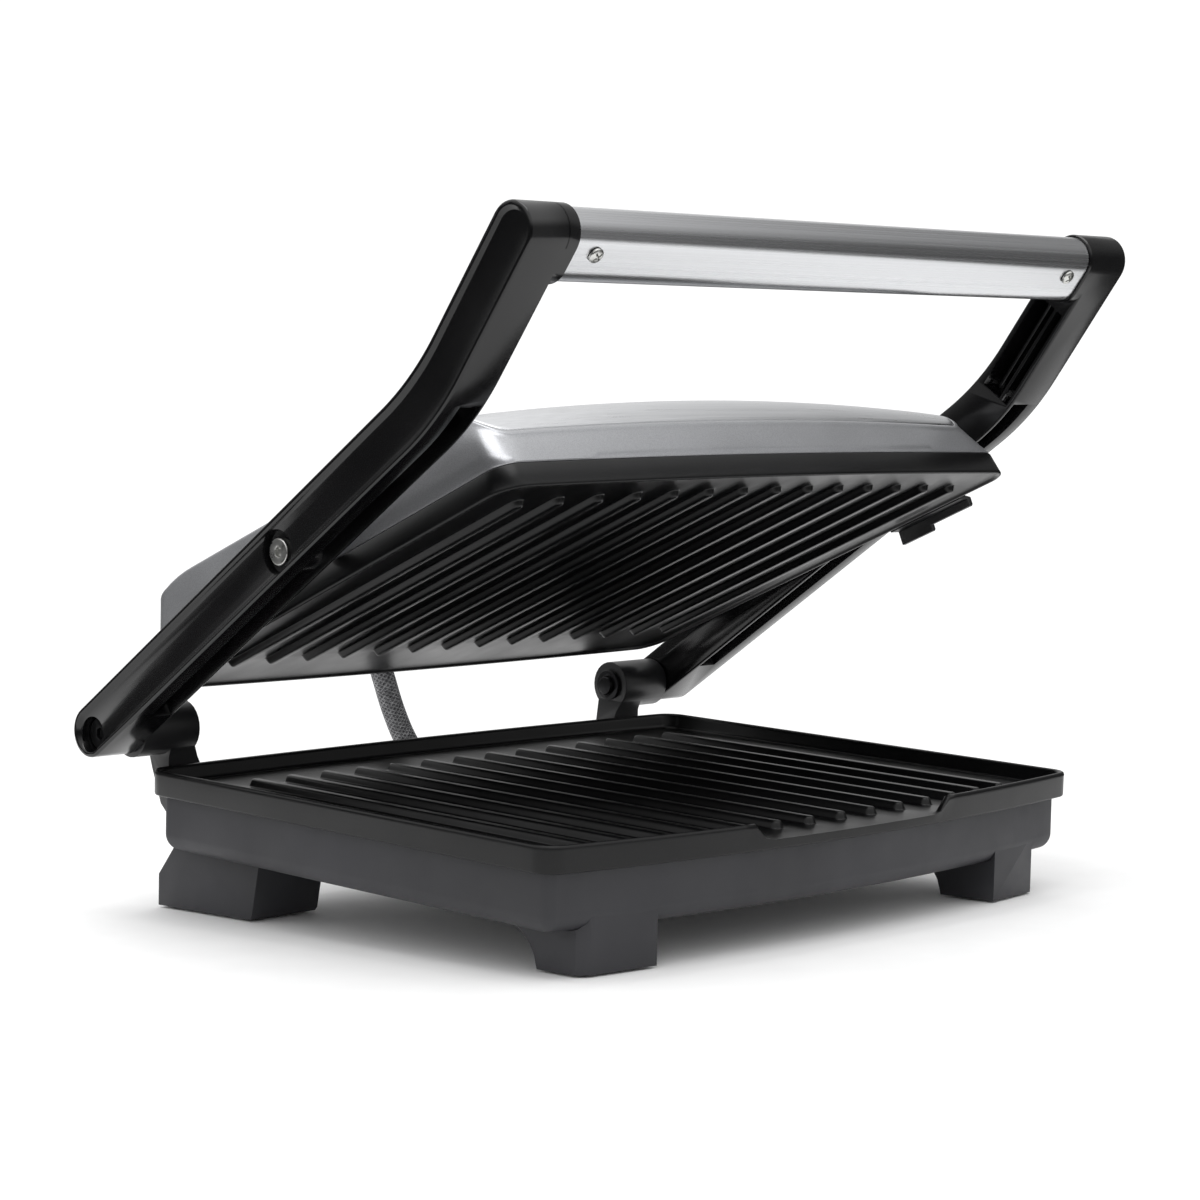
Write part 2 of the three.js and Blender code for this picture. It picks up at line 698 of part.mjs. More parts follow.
// Side outline of an arm; inset draws it smaller all round
function armSide(inset) {
  const half = armHalfWidth - inset;
  const near = armUpperNear - inset;
  const far = armUpperFar + inset;
  const upperEdge = armMiddle + half;
  const lowerEdge = armMiddle - half;
  const radius = (near - far) / 2;
  const cap = [];
  for (let i = 0; i <= roundSteps; i += 1) {
    const angle = Math.PI * i / roundSteps;
    cap.push(onUpper(armUpperEnd - inset - radius + radius * Math.sin(angle),
      (near + far) / 2 + radius * Math.cos(angle)));
  }
  const boss = [];
  for (let i = 0; i <= roundSteps; i += 1) {
    const angle = -Math.PI / 2 + Math.PI * i / roundSteps;
    boss.push(at(half * Math.cos(angle), armMiddle + half * Math.sin(angle)));
  }
  // anticlockwise in (y, z): the boss, the upper edge forward, the tip, the lower edge back
  return [...boss, ...bend(near, upperEdge), ...cap, ...bend(far, lowerEdge).reverse()];
}

// Stadium section of the handle at the arms' tips
function handleSection(inset, steps = 12) {
  const radius = (armUpperNear - armUpperFar) / 2 - inset;
  const middle = (armUpperNear + armUpperFar) / 2;
  const ends = [
    [armUpperEnd - inset - radius, 0], [armUpperEnd - handleLength + inset + radius, Math.PI],
  ];
  return ends.flatMap(([along, turn]) => {
    const half = [];
    for (let i = 0; i <= steps; i += 1) {
      const angle = turn + Math.PI * i / steps;
      half.push(onUpper(along + radius * Math.sin(angle), middle + radius * Math.cos(angle)));
    }
    return half;
  });
}

// Channel open along the underside, from near the hinge to just past the turn
const channelStart = 30;
const channelEnd = 233;                      // measured along the upper length
const channelX = [153.6, 163.7];
const channelDepth = 7;
const ribX = [157.85, 159.45];               // stiffening rib, below the channel's mouth
const ribSlotDepth = 15;
const belowArm = -120;                       // square to the upper length, clear of the arm

// Pocket in the inner side of the upper length
const pocketAlong = [231, 278];
const pocketSkin = 2.6;
const pocketRibs = [                         // distances from the front face, and inner end in X
  { from: 6, to: 7.4, start: armInner }, { from: 12, to: 13.4, start: armInner + 4 },
];
const pivotRecessRadius = 8.5;
const tongueInner = 130;
const screwX = 136.5;
const screwAlong = 298.5;

// Bar square to the front face of the handle, through it at x
function handleBore(x, radius, depth, sides = 12) {
  const bar = new THREE.CylinderGeometry(radius, radius, depth[1] - depth[0], sides);
  const place = onUpper(screwAlong, armUpperFar + (depth[0] + depth[1]) / 2);
  return bar.rotateX(Math.PI / 2 - climb).translate(x, place.x, place.y);
}

// Groove this deep in the underside, its floor following the arm's turn
function groove(x, depth) {
  const edge = (inset) => {
    const level = armMiddle - armHalfWidth + inset;
    const far = armUpperFar + inset;
    return [at(-channelStart, level), ...bend(far, level), onUpper(channelEnd + armBlend, far)];
  };
  const lower = crosswise([
    at(0, 2 * armHalfWidth), onUpper(channelEnd, armUpperNear), onUpper(channelEnd, belowArm),
    at(0, belowArm),
  ], [x[0] - 1, x[1] + 1]);
  return common(crosswise([...edge(depth), ...edge(-1).reverse()], x), lower);
}

// Band of the upper length between two distances from its front face, as far as the pocket runs
// and by extra beyond each end
function pocketBand(sign, x, from, to, extra = 0) {
  const low = pocketAlong[0] - extra;
  const high = pocketAlong[1] + extra;
  return crosswise([
    onUpper(high, armUpperFar + to), onUpper(low, armUpperFar + to),
    onUpper(low, armUpperFar + from), onUpper(high, armUpperFar + from),
  ], span(sign, ...x));
}

function arm(sign) {
  const body = crosswise(armSide(0), span(sign, armInner, armOuter));
  const sleeve = crosswise(handleSection(0), span(sign, sleeveInner, armInner + 1));
  const tongue = crosswise(handleSection(tubeInset + tubeWall + clearance),
    span(sign, tongueInner, sleeveInner + 1));
  const facePanel = crosswise(armSide(3.4), span(sign, armOuter - 1.1, armOuter + 1));
  const channel = [
    groove(span(sign, ...channelX), channelDepth),
    groove(span(sign, channelX[0], ribX[0]), ribSlotDepth),
    groove(span(sign, ribX[1], channelX[1]), ribSlotDepth),
  ];
  const pivotBore = barX(3.1, span(sign, armInner - 1, armOuter + 1), -pivotForward, pivotRise, 16);
  const pivotRecess = barX(pivotRecessRadius, span(sign, armOuter - 5.5, armOuter + 1),
    -pivotForward, pivotRise, 24);
  const pivotBoss = barX(7, span(sign, armInner + 0.5, armOuter - 2), -pivotForward, pivotRise, 16);
  const hingeBore = barX(hingePinRadius + clearance, span(sign, armInner - 1, armOuter + 1), 0, 0, 16);
  const hingeRecess = barX(7.2, span(sign, pinHead[0] - 0.5, armOuter + 1), 0, 0, 24);
  const thickness = armUpperNear - armUpperFar;
  const pocket = cut(
    pocketBand(sign, [armInner - 1, armOuter - 4], pocketSkin, thickness - pocketSkin),
    ...pocketRibs.map(({ from, to, start }) => pocketBand(sign, [start, armOuter], from, to, 1)));
  const hollowed = cut(body, facePanel, ...channel, pocket);
  return cut(join(hollowed, sleeve, tongue, pivotBoss), pivotBore, pivotRecess, hingeBore,
    hingeRecess, handleBore(sign * screwX, 1.5, [-2, 9]));
}

function handleTube() {
  const outer = crosswise(handleSection(tubeInset), [-sleeveInner + clearance, sleeveInner - clearance]);
  const inner = crosswise(handleSection(tubeInset + tubeWall), [-sleeveInner, sleeveInner]);
  const holes = [-1, 1].map((sign) => handleBore(sign * screwX, 2, [-3, 6]));
  return cut(outer, inner, ...holes);
}

// Pan head on the tube's front face with a cross slot, and its thread
function handleScrew(sign) {
  const headSeat = tubeInset - clearance;
  const head = handleBore(sign * screwX, 3, [headSeat - 1.6, headSeat], 16);
  const thread = handleBore(sign * screwX, 1.2, [headSeat - 1, 8]);
  return join(head, thread);
}

for (const [side, sign] of sides) {
  add(arms, `arm_${side}`, arm(sign), glossBlackPlastic());
  add(arms, `handle_screw_${side}`, handleScrew(sign), platedSteel());
}
add(arms, 'handle_tube', handleTube(), brushedSteel());

// ---------------------------------------------------------------------------
// Lid: depth runs from -pivotDepth at the front corners, heights from the pivot
// ---------------------------------------------------------------------------
const lidLevel = (height) => height - pivotHeight;

// Crowned top of the lid: a slope behind the front edge, then an easy rise to the rear
const topFront = 25.4;
const topCrest = 44.3;
const topRear = 47;
const crestDistance = 35;                    // crest of the slope, behind the bowed front edge
const riseLength = 180;
const crownAt = 134;                         // sides at this X fall below the middle
const crownFront = 2.2;
const crownCrest = 6;
const rearFall = 7;                          // the last stretch rounds down to the rear edge
const rearFallLength = 30;

function topHeight(x, y) {
  const distance = y - edgeAt(lidPlan, -1, x);
  const toRear = edgeAt(lidPlan, 1, x) - seamRearInset - y;
  const clamp = (value) => THREE.MathUtils.clamp(value, 0, 1);
  const share = clamp((distance - seamInset) / (crestDistance - seamInset));
  const slope = topFront + (topCrest - topFront) * (1.9 * share - 0.9 * share ** 2);
  const rise = (topRear - topCrest) * clamp((distance - crestDistance) / riseLength);
  const fall = rearFall * clamp(1 - toRear / rearFallLength) ** 2;
  const crown = crownFront + (crownCrest - crownFront) * share;
  return lidLevel(slope + rise - fall - crown * (x / crownAt) ** 2);
}

function upperGrillPlate() {
  const slab = loft([
    ring(lidPlan, 0.6, lidLevel(0)),
    ring(lidPlan, 0, lidLevel(1.2)),
    ring(lidPlan, lidRimDraft, lidLevel(lidRimHeight)),
  ]);
  const recess = loft([
    ring(lidPlan, 2.2, lidLevel(-1)), ring(lidPlan, 2.8, lidLevel(lidPlateRecess)),
  ]);
  const pocket = loft([
    ring(lidPlan, 6, lidLevel(5.2)), ring(lidPlan, 5.4, lidLevel(lidRimHeight + 1)),
  ]);
  const ridges = [];
  for (let i = 0; i < ridgeCount; i += 1) {
    const x = (i - (ridgeCount - 1) / 2) * upperRidgePitch;
    const front = edgeAt(lidPlan, -1, x) + upperRidgeMargin + upperRidgeBow * (x / lidHalfWidth) ** 2;
    ridges.push(ridge(x, [front, upperRidgeRear - pivotDepth], lidLevel(2.2),
      lidLevel(-upperRidgeDrop)));
  }
  return join(cut(slab, recess, pocket), ...ridges);
}

const shellFoot = lidRimHeight + clearance;
const shellFootInset = lidRimDraft + 0.2;
const conduitLidX = -6;
const conduitLidHeight = 20;
const panelThickness = 2.2;
const panelProud = 0.2;                      // panel stands this far above the shell's edge
const seatDepth = panelThickness - panelProud + 0.6;
const seatWidth = 8;

const belowTop = (drop) => (x, y) => topHeight(x, y) - drop;

function lidShell() {
  const shell = hoop([
    ring(lidPlan, shellFootInset, lidLevel(shellFoot)),
    ring(seamPlan, -0.4, belowTop(1.2)),
    ring(seamPlan, 0, topHeight),
    ring(seamPlan, seamLip, topHeight),
    ring(seamPlan, seamLip, belowTop(seatDepth)),
    ring(seamPlan, seatWidth, belowTop(seatDepth)),
    ring(seamPlan, seatWidth, belowTop(seatDepth + 2)),
    ring(seamPlan, shellWall, belowTop(seatDepth + 2.6)),
    ring(lidPlan, shellFootInset + shellWall, lidLevel(shellFoot)),
  ]);
  const pivotHoles = [-1, 1].map(
    (sign) => barX(2.9, span(sign, lidHalfWidth - 12, lidHalfWidth + 5), 0, 0, 16));
  const leadHole = barY(conduitBushRadius + 0.5, conduitLidX, [110, 135],
    lidLevel(conduitLidHeight), 16);
  return cut(shell, ...pivotHoles, leadHole);
}

const lensPlaces = [[72, 36, 'power'], [92, 36, 'ready']];
const lensRadius = 3.2;

function lidTopPanel() {
  const insets = [0, 5, 11, 18, 27, 50, 90].map((inset) => seamLip + seamGap + inset);
  const under = insets.map((inset) => ring(seamPlan, inset, belowTop(panelThickness - panelProud)));
  const over = insets.map((inset) => ring(seamPlan, inset, belowTop(-panelProud)));
  const panel = loft([...under.reverse(), ...over]);
  const holes = lensPlaces.map(([x, y]) => barZ(lensRadius + clearance, x, y, [0, 60], 16));
  return cut(panel, ...holes);
}

add(lid, 'upper_grill_plate', upperGrillPlate(), coatedPlate());
add(lid, 'lid_shell', lidShell(), silverShell());
add(lid, 'lid_top_panel', lidTopPanel(), silverPanel());
const upperElementLevel = lidLevel(5.2) + clearance + elementRadius;
add(lid, 'upper_heating_element', heatingElement(upperElementLevel, 12), heaterSheath());
add(lid, 'upper_reflector', reflector(lidPlan, 26, lidLevel(15), 0.8, 4), sheetAluminium());
add(lid, 'upper_thermostat', thermostat(0, 40, lidLevel(20)), ceramic());
for (const [x, y, name] of lensPlaces) {
  const top = topHeight(x, y);
  const lens = join(
    barZ(lensRadius, x, y, [top - 5, top + 1.2], 16), barZ(5, x, y, [top - 5, top - 2.8], 16));
  add(lid, `${name}_lens`, lens, name === 'power' ? redLens() : greenLens());
}
const lidRearWall = lidPlan.rear - shellFootInset;
add(lid, 'conduit_bushing_upper', grommet(
  conduitLidX, lidRearWall, lidLevel(conduitLidHeight), conduitBushRadius, conduitBore),
blackPlastic());

// Pivot: bolt from the arm's outer recess through a bush into a bracket in the lid
const bracketX = [133, 135];
const bracketFoot = 118;                     // the bracket's foot reaches in to here
const bracketHalfDepth = 16;
const bracketHeights = [5.6, 7.4, 26];       // foot's underside, foot's top, plate's top
const bushInner = 144.4;
const bushRadius = 4.1;
const boltHeadX = [armOuter - 5.2, armOuter - 2.2];
const boltHeadRadius = 5.2;
const boltRadius = 2.6;
const boltEnd = 124;
const nutX = [bracketX[0] - 5.5, bracketX[0] - 0.4];
for (const [side, sign] of sides) {
  const boltHead = barX(boltHeadRadius, span(sign, ...boltHeadX), 0, 0);
  const boltShank = barX(boltRadius, span(sign, boltEnd, boltHeadX[0] + 1), 0, 0, 16);
  const boltSocket = barX(2.2, span(sign, boltHeadX[1] - 1.8, boltHeadX[1] + 1), 0, 0, 6);
  add(lid, `pivot_bolt_${side}`, cut(join(boltHead, boltShank), boltSocket), platedSteel());
  const bore = (from, to) => barX(boltRadius + clearance, span(sign, from, to), 0, 0, 16);
  const bush = barX(bushRadius, span(sign, bushInner, armInner - clearance), 0, 0, 16);
  add(lid, `pivot_bush_${side}`, cut(bush, bore(bushInner - 1, armInner + 1)), blackenedSteel());
  const [footLow, footTop, plateHigh] = bracketHeights.map(lidLevel);
  const depths = [-bracketHalfDepth, bracketHalfDepth];
  const plate = join(
    box(span(sign, ...bracketX), depths, [footLow, plateHigh]),
    box(span(sign, bracketFoot, bracketX[0] + 1), depths, [footLow, footTop]));
  add(lid, `pivot_bracket_${side}`, cut(plate, bore(bracketX[0] - 1, bracketX[1] + 1)), platedSteel());
  const nut = barX(5, span(sign, ...nutX), 0, 0, 6);
  add(lid, `pivot_nut_${side}`, cut(nut, bore(nutX[0] - 1, nutX[1] + 1)), platedSteel());
}

// Transport latch on the right edge: a guide on the rim and a ribbed thumb slider over it
const latchFront = 31;
const latchWaist = 54;
const latchRear = 72;
const latchThumbBottom = -3;
const latchHookBottom = -5.8;
const guideX = [lidHalfWidth + clearance, lidHalfWidth + 1.8];
const sliderX = [guideX[1] + 0.4, armInner - 0.5];   // where it passes inside the arm
const hookX = [baseHalfWidth + 0.6, baseHalfWidth + 3.5];  // where it passes outside the base's rim
const behindFront = (depth) => depth - pivotDepth;

function latchGuide() {
  const guideDepth = [behindFront(latchFront - 6), behindFront(latchRear + 12)];
  const plate = box(guideX, guideDepth, [lidLevel(3), lidLevel(17)]);
  const root = box([guideX[0] - 1.8, guideX[0] + 1], guideDepth, [lidLevel(shellFoot + 0.8), lidLevel(17)]);
  return join(plate, root);
}

function latchSlider() {
  const top = lidLevel(9);
  const step = lidLevel(0.2);
  const strip = (bottom, from, to) => {
    const section = new THREE.Shape([
      at(sliderX[0], top), at(sliderX[0], step), at(hookX[0], step), at(hookX[0], lidLevel(bottom)),
      at(hookX[1] - 0.8, lidLevel(bottom)), at(hookX[1], lidLevel(bottom + 0.8)),
      at(hookX[1], lidLevel(1.2)), at(sliderX[1], lidLevel(2.4)), at(sliderX[1], top),
    ]);
    const geometry = new THREE.ExtrudeGeometry(section, { depth: to - from, bevelEnabled: false });
    return geometry.rotateX(Math.PI / 2).translate(0, behindFront(to), 0);
  };
  const ribs = [];
  const ribPitch = 2.4;
  for (let depth = latchFront + 2; depth < latchWaist - 2; depth += ribPitch) {
    ribs.push(box([hookX[1] - 1, hookX[1] + 0.6], [behindFront(depth), behindFront(depth + 1.2)],
      [lidLevel(-2.2), lidLevel(0.8)]));
  }
  return join(strip(latchThumbBottom, latchFront, latchWaist + 1),
    strip(latchHookBottom, latchWaist, latchRear), ...ribs);
}

add(lid, 'latch_guide', latchGuide(), blackPlastic());
add(lid, 'latch_slider', latchSlider(), blackPlastic());

// ---------------------------------------------------------------------------
// Lead from the lid's rear wall down to the base's, in two lengths that meet at the hinge line
// ---------------------------------------------------------------------------
base.updateMatrixWorld(true);
const lidToBase = new THREE.Matrix4().copy(base.matrixWorld).invert().multiply(lid.matrixWorld);
const lidExit = (depth) => new THREE.Vector3(
  conduitLidX, lidRearWall + depth, lidLevel(conduitLidHeight)).applyMatrix4(lidToBase);
// the two lengths meet end to end, square to the lead's direction there
const conduitHeading = new THREE.Vector3(0.26, -0.13, -0.95).normalize();
const alongMeeting = (distance) => new THREE.Vector3(-4, 142.5, 75).addScaledVector(
  conduitHeading, distance);
const baseEntry = (depth) => new THREE.Vector3(
  conduitBaseX, rearWall(0) + depth, conduitBaseZ);
const upperRoute = [
  lidExit(-3), lidExit(4), lidExit(8), new THREE.Vector3(-6, 144.8, 91),
  new THREE.Vector3(-5.8, 144, 83), alongMeeting(-3), alongMeeting(0),
];
const lowerRoute = [
  alongMeeting(0.5), alongMeeting(3.5), new THREE.Vector3(-0.8, 141, 64.5),
  new THREE.Vector3(3.5, 139.4, 54), new THREE.Vector3(8.6, 137, 44.5),
  new THREE.Vector3(12.4, 132, 37.5), baseEntry(6), baseEntry(2), baseEntry(-3),
];
add(base, 'conduit_upper', tube(upperRoute, conduitRadius, 12, conduitSides), braidedSleeve());
add(base, 'conduit_lower', tube(lowerRoute, conduitRadius, 16, conduitSides), braidedSleeve());

// Origin on the table, under the middle of the whole press
press.updateMatrixWorld(true);
const extent = new THREE.Box3().setFromObject(press, true);
const middle = extent.getCenter(new THREE.Vector3());
base.position.set(-middle.x, -middle.y, -extent.min.z);
press.updateMatrixWorld(true);

export default press;
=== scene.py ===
"""A countertop panini press, half open on its floating hinge: its looks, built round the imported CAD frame.

Shapes are drawn in millimetres in three local frames (base, arms, lid) that hang on the frame's joints,
with +X to the user's right and +Y to the rear, and are then placed in the row frame in metres.
"""

import json
import math

import bmesh
import bpy
import numpy as np
from mathutils import Matrix, Vector

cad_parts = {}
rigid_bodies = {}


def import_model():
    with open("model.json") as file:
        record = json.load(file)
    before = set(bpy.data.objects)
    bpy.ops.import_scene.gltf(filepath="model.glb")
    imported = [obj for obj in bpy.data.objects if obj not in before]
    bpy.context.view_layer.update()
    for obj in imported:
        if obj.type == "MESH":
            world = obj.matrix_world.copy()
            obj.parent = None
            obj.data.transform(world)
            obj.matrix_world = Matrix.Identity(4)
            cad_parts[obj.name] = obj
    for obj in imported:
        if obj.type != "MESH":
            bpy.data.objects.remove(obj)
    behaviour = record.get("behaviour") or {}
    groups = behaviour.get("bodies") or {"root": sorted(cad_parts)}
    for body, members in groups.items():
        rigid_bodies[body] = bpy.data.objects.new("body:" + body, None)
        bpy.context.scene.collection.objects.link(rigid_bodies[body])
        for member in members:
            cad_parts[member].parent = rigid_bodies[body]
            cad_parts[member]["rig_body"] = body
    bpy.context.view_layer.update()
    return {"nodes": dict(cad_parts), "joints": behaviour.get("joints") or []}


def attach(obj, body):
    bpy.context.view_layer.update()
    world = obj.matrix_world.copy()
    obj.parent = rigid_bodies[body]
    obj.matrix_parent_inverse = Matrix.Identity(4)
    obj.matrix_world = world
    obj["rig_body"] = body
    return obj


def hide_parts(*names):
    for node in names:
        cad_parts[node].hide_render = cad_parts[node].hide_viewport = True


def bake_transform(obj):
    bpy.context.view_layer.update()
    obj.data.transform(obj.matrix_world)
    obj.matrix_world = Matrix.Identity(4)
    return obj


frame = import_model()
JOINTS = {joint["name"]: joint for joint in frame["joints"]}
SIDES = (("left", -1), ("right", 1))
MM = 0.001

# --- Driving dimensions, millimetres and degrees ---
FORWARD_LEAN = 2.73
ARM_REST_ANGLE = 35.1
LID_TURN = 10.85
HINGE_Y, HINGE_Z = 130.5, 68.8

RIM_TOP, RIM_BOTTOM, PLATE_TOP = 55.1, 44.75, 48.5
RIM_DRAFT = 0.4
RIDGE_COUNT = 14
LOWER_PITCH, LOWER_MARGIN, LOWER_RIDGE_REAR = 18.4, 14.5, 92
LOWER_RIDGE_HEIGHT = 3.1
NOTCH_HALF_BOTTOM, NOTCH_HALF_TOP = 51, 53.5

CASING_INSET, CASING_BOTTOM, CASING_WALL = 4.9, 22, 2.6
CASING_TOP = RIM_BOTTOM - 0.3
VENT_COUNT, VENT_PITCH, VENT_HALF_WIDTH, VENT_HALF_LENGTH = 9, 16, 2, 18
VENT_ROWS = (-60, 55)
CONDUIT_BASE = (13, 35)
GLAND, GLAND_HOLE = (-62, 33), 6.5
CASING_ROUND = 7                                   # round between the walls and the bottom
REAR_HOLE_START, REAR_HOLE_LENGTH = 95, 35

ARM_OUTER, ARM_INNER, ARM_HALF, ARM_MIDDLE = 171.5, 152, 10.3, 1.3
CLIMB = math.radians(19.4)
UPPER_NEAR, UPPER_FAR, UPPER_END = -68.6, -89.1, 311.3
ARM_BLEND = 20
SLEEVE_INNER, HANDLE_LENGTH, TUBE_WALL, TUBE_INSET = 147.4, 30, 1.3, 1.2
TONGUE_INNER, SCREW_X, SCREW_ALONG = 130, 136.5, 298.5
CHANNEL_START, CHANNEL_END, BELOW_ARM = 30, 233, -120
CHANNEL_X, RIB_X = (153.6, 163.7), (157.85, 159.45)
CHANNEL_DEPTH, RIB_SLOT_DEPTH = 7, 15
POCKET_ALONG, POCKET_SKIN = (231, 278), 2.6
POCKET_RIBS = ((6, 7.4, ARM_INNER), (12, 13.4, ARM_INNER + 4))
POCKET_REACH = (ARM_INNER - 1, ARM_OUTER - 4)
SCREW_HOLE, TUBE_SCREW_HOLE, SCREW_HEAD, SCREW_SHANK, SCREW_CROWN = 1.5, 2, 3, 1.2, 1.1
PIVOT_FORWARD, PIVOT_RISE = 140.4, 0.49
PIVOT_BOSS, PIVOT_HOLE, PIVOT_RECESS, PIVOT_RECESS_DEPTH = 7, 3.1, 8.5, 5.5
HINGE_HOLE, HINGE_RECESS, HINGE_RECESS_DEPTH = 4.3, 7.2, 8.5
BOLT_START, BOLT_SHANK, BOLT_HEAD, BOLT_ROUND, BOLT_SOCKET = 124, 2.6, 5.2, 0.6, 2.2

PIVOT_DEPTH, PIVOT_HEIGHT = 101, 14.3
RIM_HEIGHT = 9.9
UPPER_PITCH, UPPER_MARGIN, UPPER_MARGIN_BOW = 19.25, 13.7, 3.8
UPPER_RIDGE_REAR = 199 - PIVOT_DEPTH
PLATE_RECESS, UPPER_RIDGE_HEIGHT = 1.2, 2.8
SHELL_FOOT, SHELL_FOOT_INSET, SHELL_WALL = 10.2, 2.2, 2.4
SEAM_LIP, SEAM_GAP, SEAT_WIDTH = 1.2, 0.5, 8
PANEL_THICKNESS, PANEL_PROUD = 2.2, 0.2
SEAT_DEPTH = PANEL_THICKNESS - PANEL_PROUD + 0.6
CREST_DISTANCE, RISE_LENGTH, CROWN_AT = 35, 180, 134
REAR_FALL, REAR_FALL_LENGTH = 7, 30
# Top along the lid: slope from its start to the crest, then the rise; crowns at the two ends of the slope
SLOPE_START, SLOPE_LOW, SLOPE_HIGH, SLOPE_EASE = 8.5, 25.4, 44.3, 0.9
RISE_HEIGHT, START_CROWN, CREST_CROWN, REAR_EDGE = 2.7, 2.2, 6, 4
LENSES = ((72, 36, "power"), (92, 36, "ready"))
LENS_RADIUS = 3.2
CONDUIT_RADIUS, CONDUIT_FIT = 5.5, 0.93
CONDUIT_HOLE = CONDUIT_RADIUS + 2.5
CONDUIT_LID = (-6, 20)
CONDUIT_MEETING = Vector((-4, 142.5, 75))          # where the two lengths of the lead meet
CONDUIT_HEADING = Vector((0.26, -0.13, -0.95)).normalized()
STRANDS_ROUND, STRANDS_PER_STEP, ROUTE_STEP = 12, 0.55, 1.0


# --- Local frames ---
def local_frame(pivot, lean, origin):
    """Local millimetres to row metres: the frame leans about X, and origin (y, z) lies on the pivot."""
    return (Matrix.Translation(pivot) @ Matrix.Rotation(math.radians(lean), 4, "X")
            @ Matrix.Scale(MM, 4) @ Matrix.Translation((0, -origin[0], -origin[1])))


HINGE = Vector(JOINTS["arm_hinge"]["pos_m"])
PIVOT = Vector(JOINTS["lid_pivot"]["pos_m"])
BASE = local_frame(HINGE, FORWARD_LEAN, (HINGE_Y, HINGE_Z))
ARMS = local_frame(HINGE, FORWARD_LEAN - ARM_REST_ANGLE, (0, 0))
LID = local_frame(PIVOT, FORWARD_LEAN - ARM_REST_ANGLE + LID_TURN, (0, 0))


def lid_level(height):
    """Height above the lid's lower rim as a height from the pivot."""
    return height - PIVOT_HEIGHT


# --- Shapes: a shape is (points, faces) ---
def loft(rings, ends=True):
    """Skin over rings of equal length. With ends=False the last ring joins the first."""
    count = len(rings[0])
    faces = []
    for level in range(len(rings) if not ends else len(rings) - 1):
        low, high = level * count, (level + 1) % len(rings) * count
        faces += [(low + i, low + (i + 1) % count, high + (i + 1) % count, high + i)
                  for i in range(count)]
    if ends:
        last = (len(rings) - 1) * count
        faces += [tuple(range(count))[::-1], tuple(range(last, last + count))]
    return np.vstack(rings), faces


def merge(*shapes):
    points, faces, start = [], [], 0
    for shape_points, shape_faces in shapes:
        points.append(shape_points)
        faces += [tuple(i + start for i in face) for face in shape_faces]
        start += len(shape_points)
    return np.vstack(points), faces


def block(x, y, z):
    (x0, x1), (y0, y1), (z0, z1) = sorted(x), sorted(y), sorted(z)
    ring = [(x0, y0), (x1, y0), (x1, y1), (x0, y1)]
    return loft([np.array([(a, b, level) for a, b in ring]) for level in (z0, z1)])


def arc(start, end, steps):
    """Angles from start to end, in degrees."""
    return np.radians(np.linspace(start, end, steps + 1))


def turned(profile, centre, axis, sides=48):
    """Body of revolution: profile is (radius, distance along axis) from one end to the other."""
    axis = Vector(axis).normalized()
    across = axis.orthogonal().normalized()
    other = axis.cross(across)
    angles = np.linspace(0, 2 * math.pi, sides, endpoint=False)
    spokes = np.outer(np.cos(angles), across) + np.outer(np.sin(angles), other)
    rings = [np.array(centre) + radius * spokes + along * np.array(axis) for radius, along in profile]
    return loft(rings)


def stack_x(outline, profile, sign=1, ends=True):
    """Loft across X: outline(inset) gives (y, z) points, profile lists (x, inset)."""
    rings = []
    for x, inset in profile:
        flat = outline(inset)
        rings.append(np.column_stack([np.full(len(flat), sign * x), flat]))
    return loft(rings, ends)


def round_ended(x, ends, radius, steps):
    """Outline at x that runs along Y between the centres of its two round ends, (front, rear)."""
    rear, front = arc(0, 180, steps), arc(180, 360, steps)
    return np.vstack([
        np.column_stack([x + radius * np.cos(rear), ends[1] + radius * np.sin(rear)]),
        np.column_stack([x + radius * np.cos(front), ends[0] + radius * np.sin(front)])])


def smooth_step(value):
    value = np.clip(value, 0, 1)
    return value * value * (3 - 2 * value)


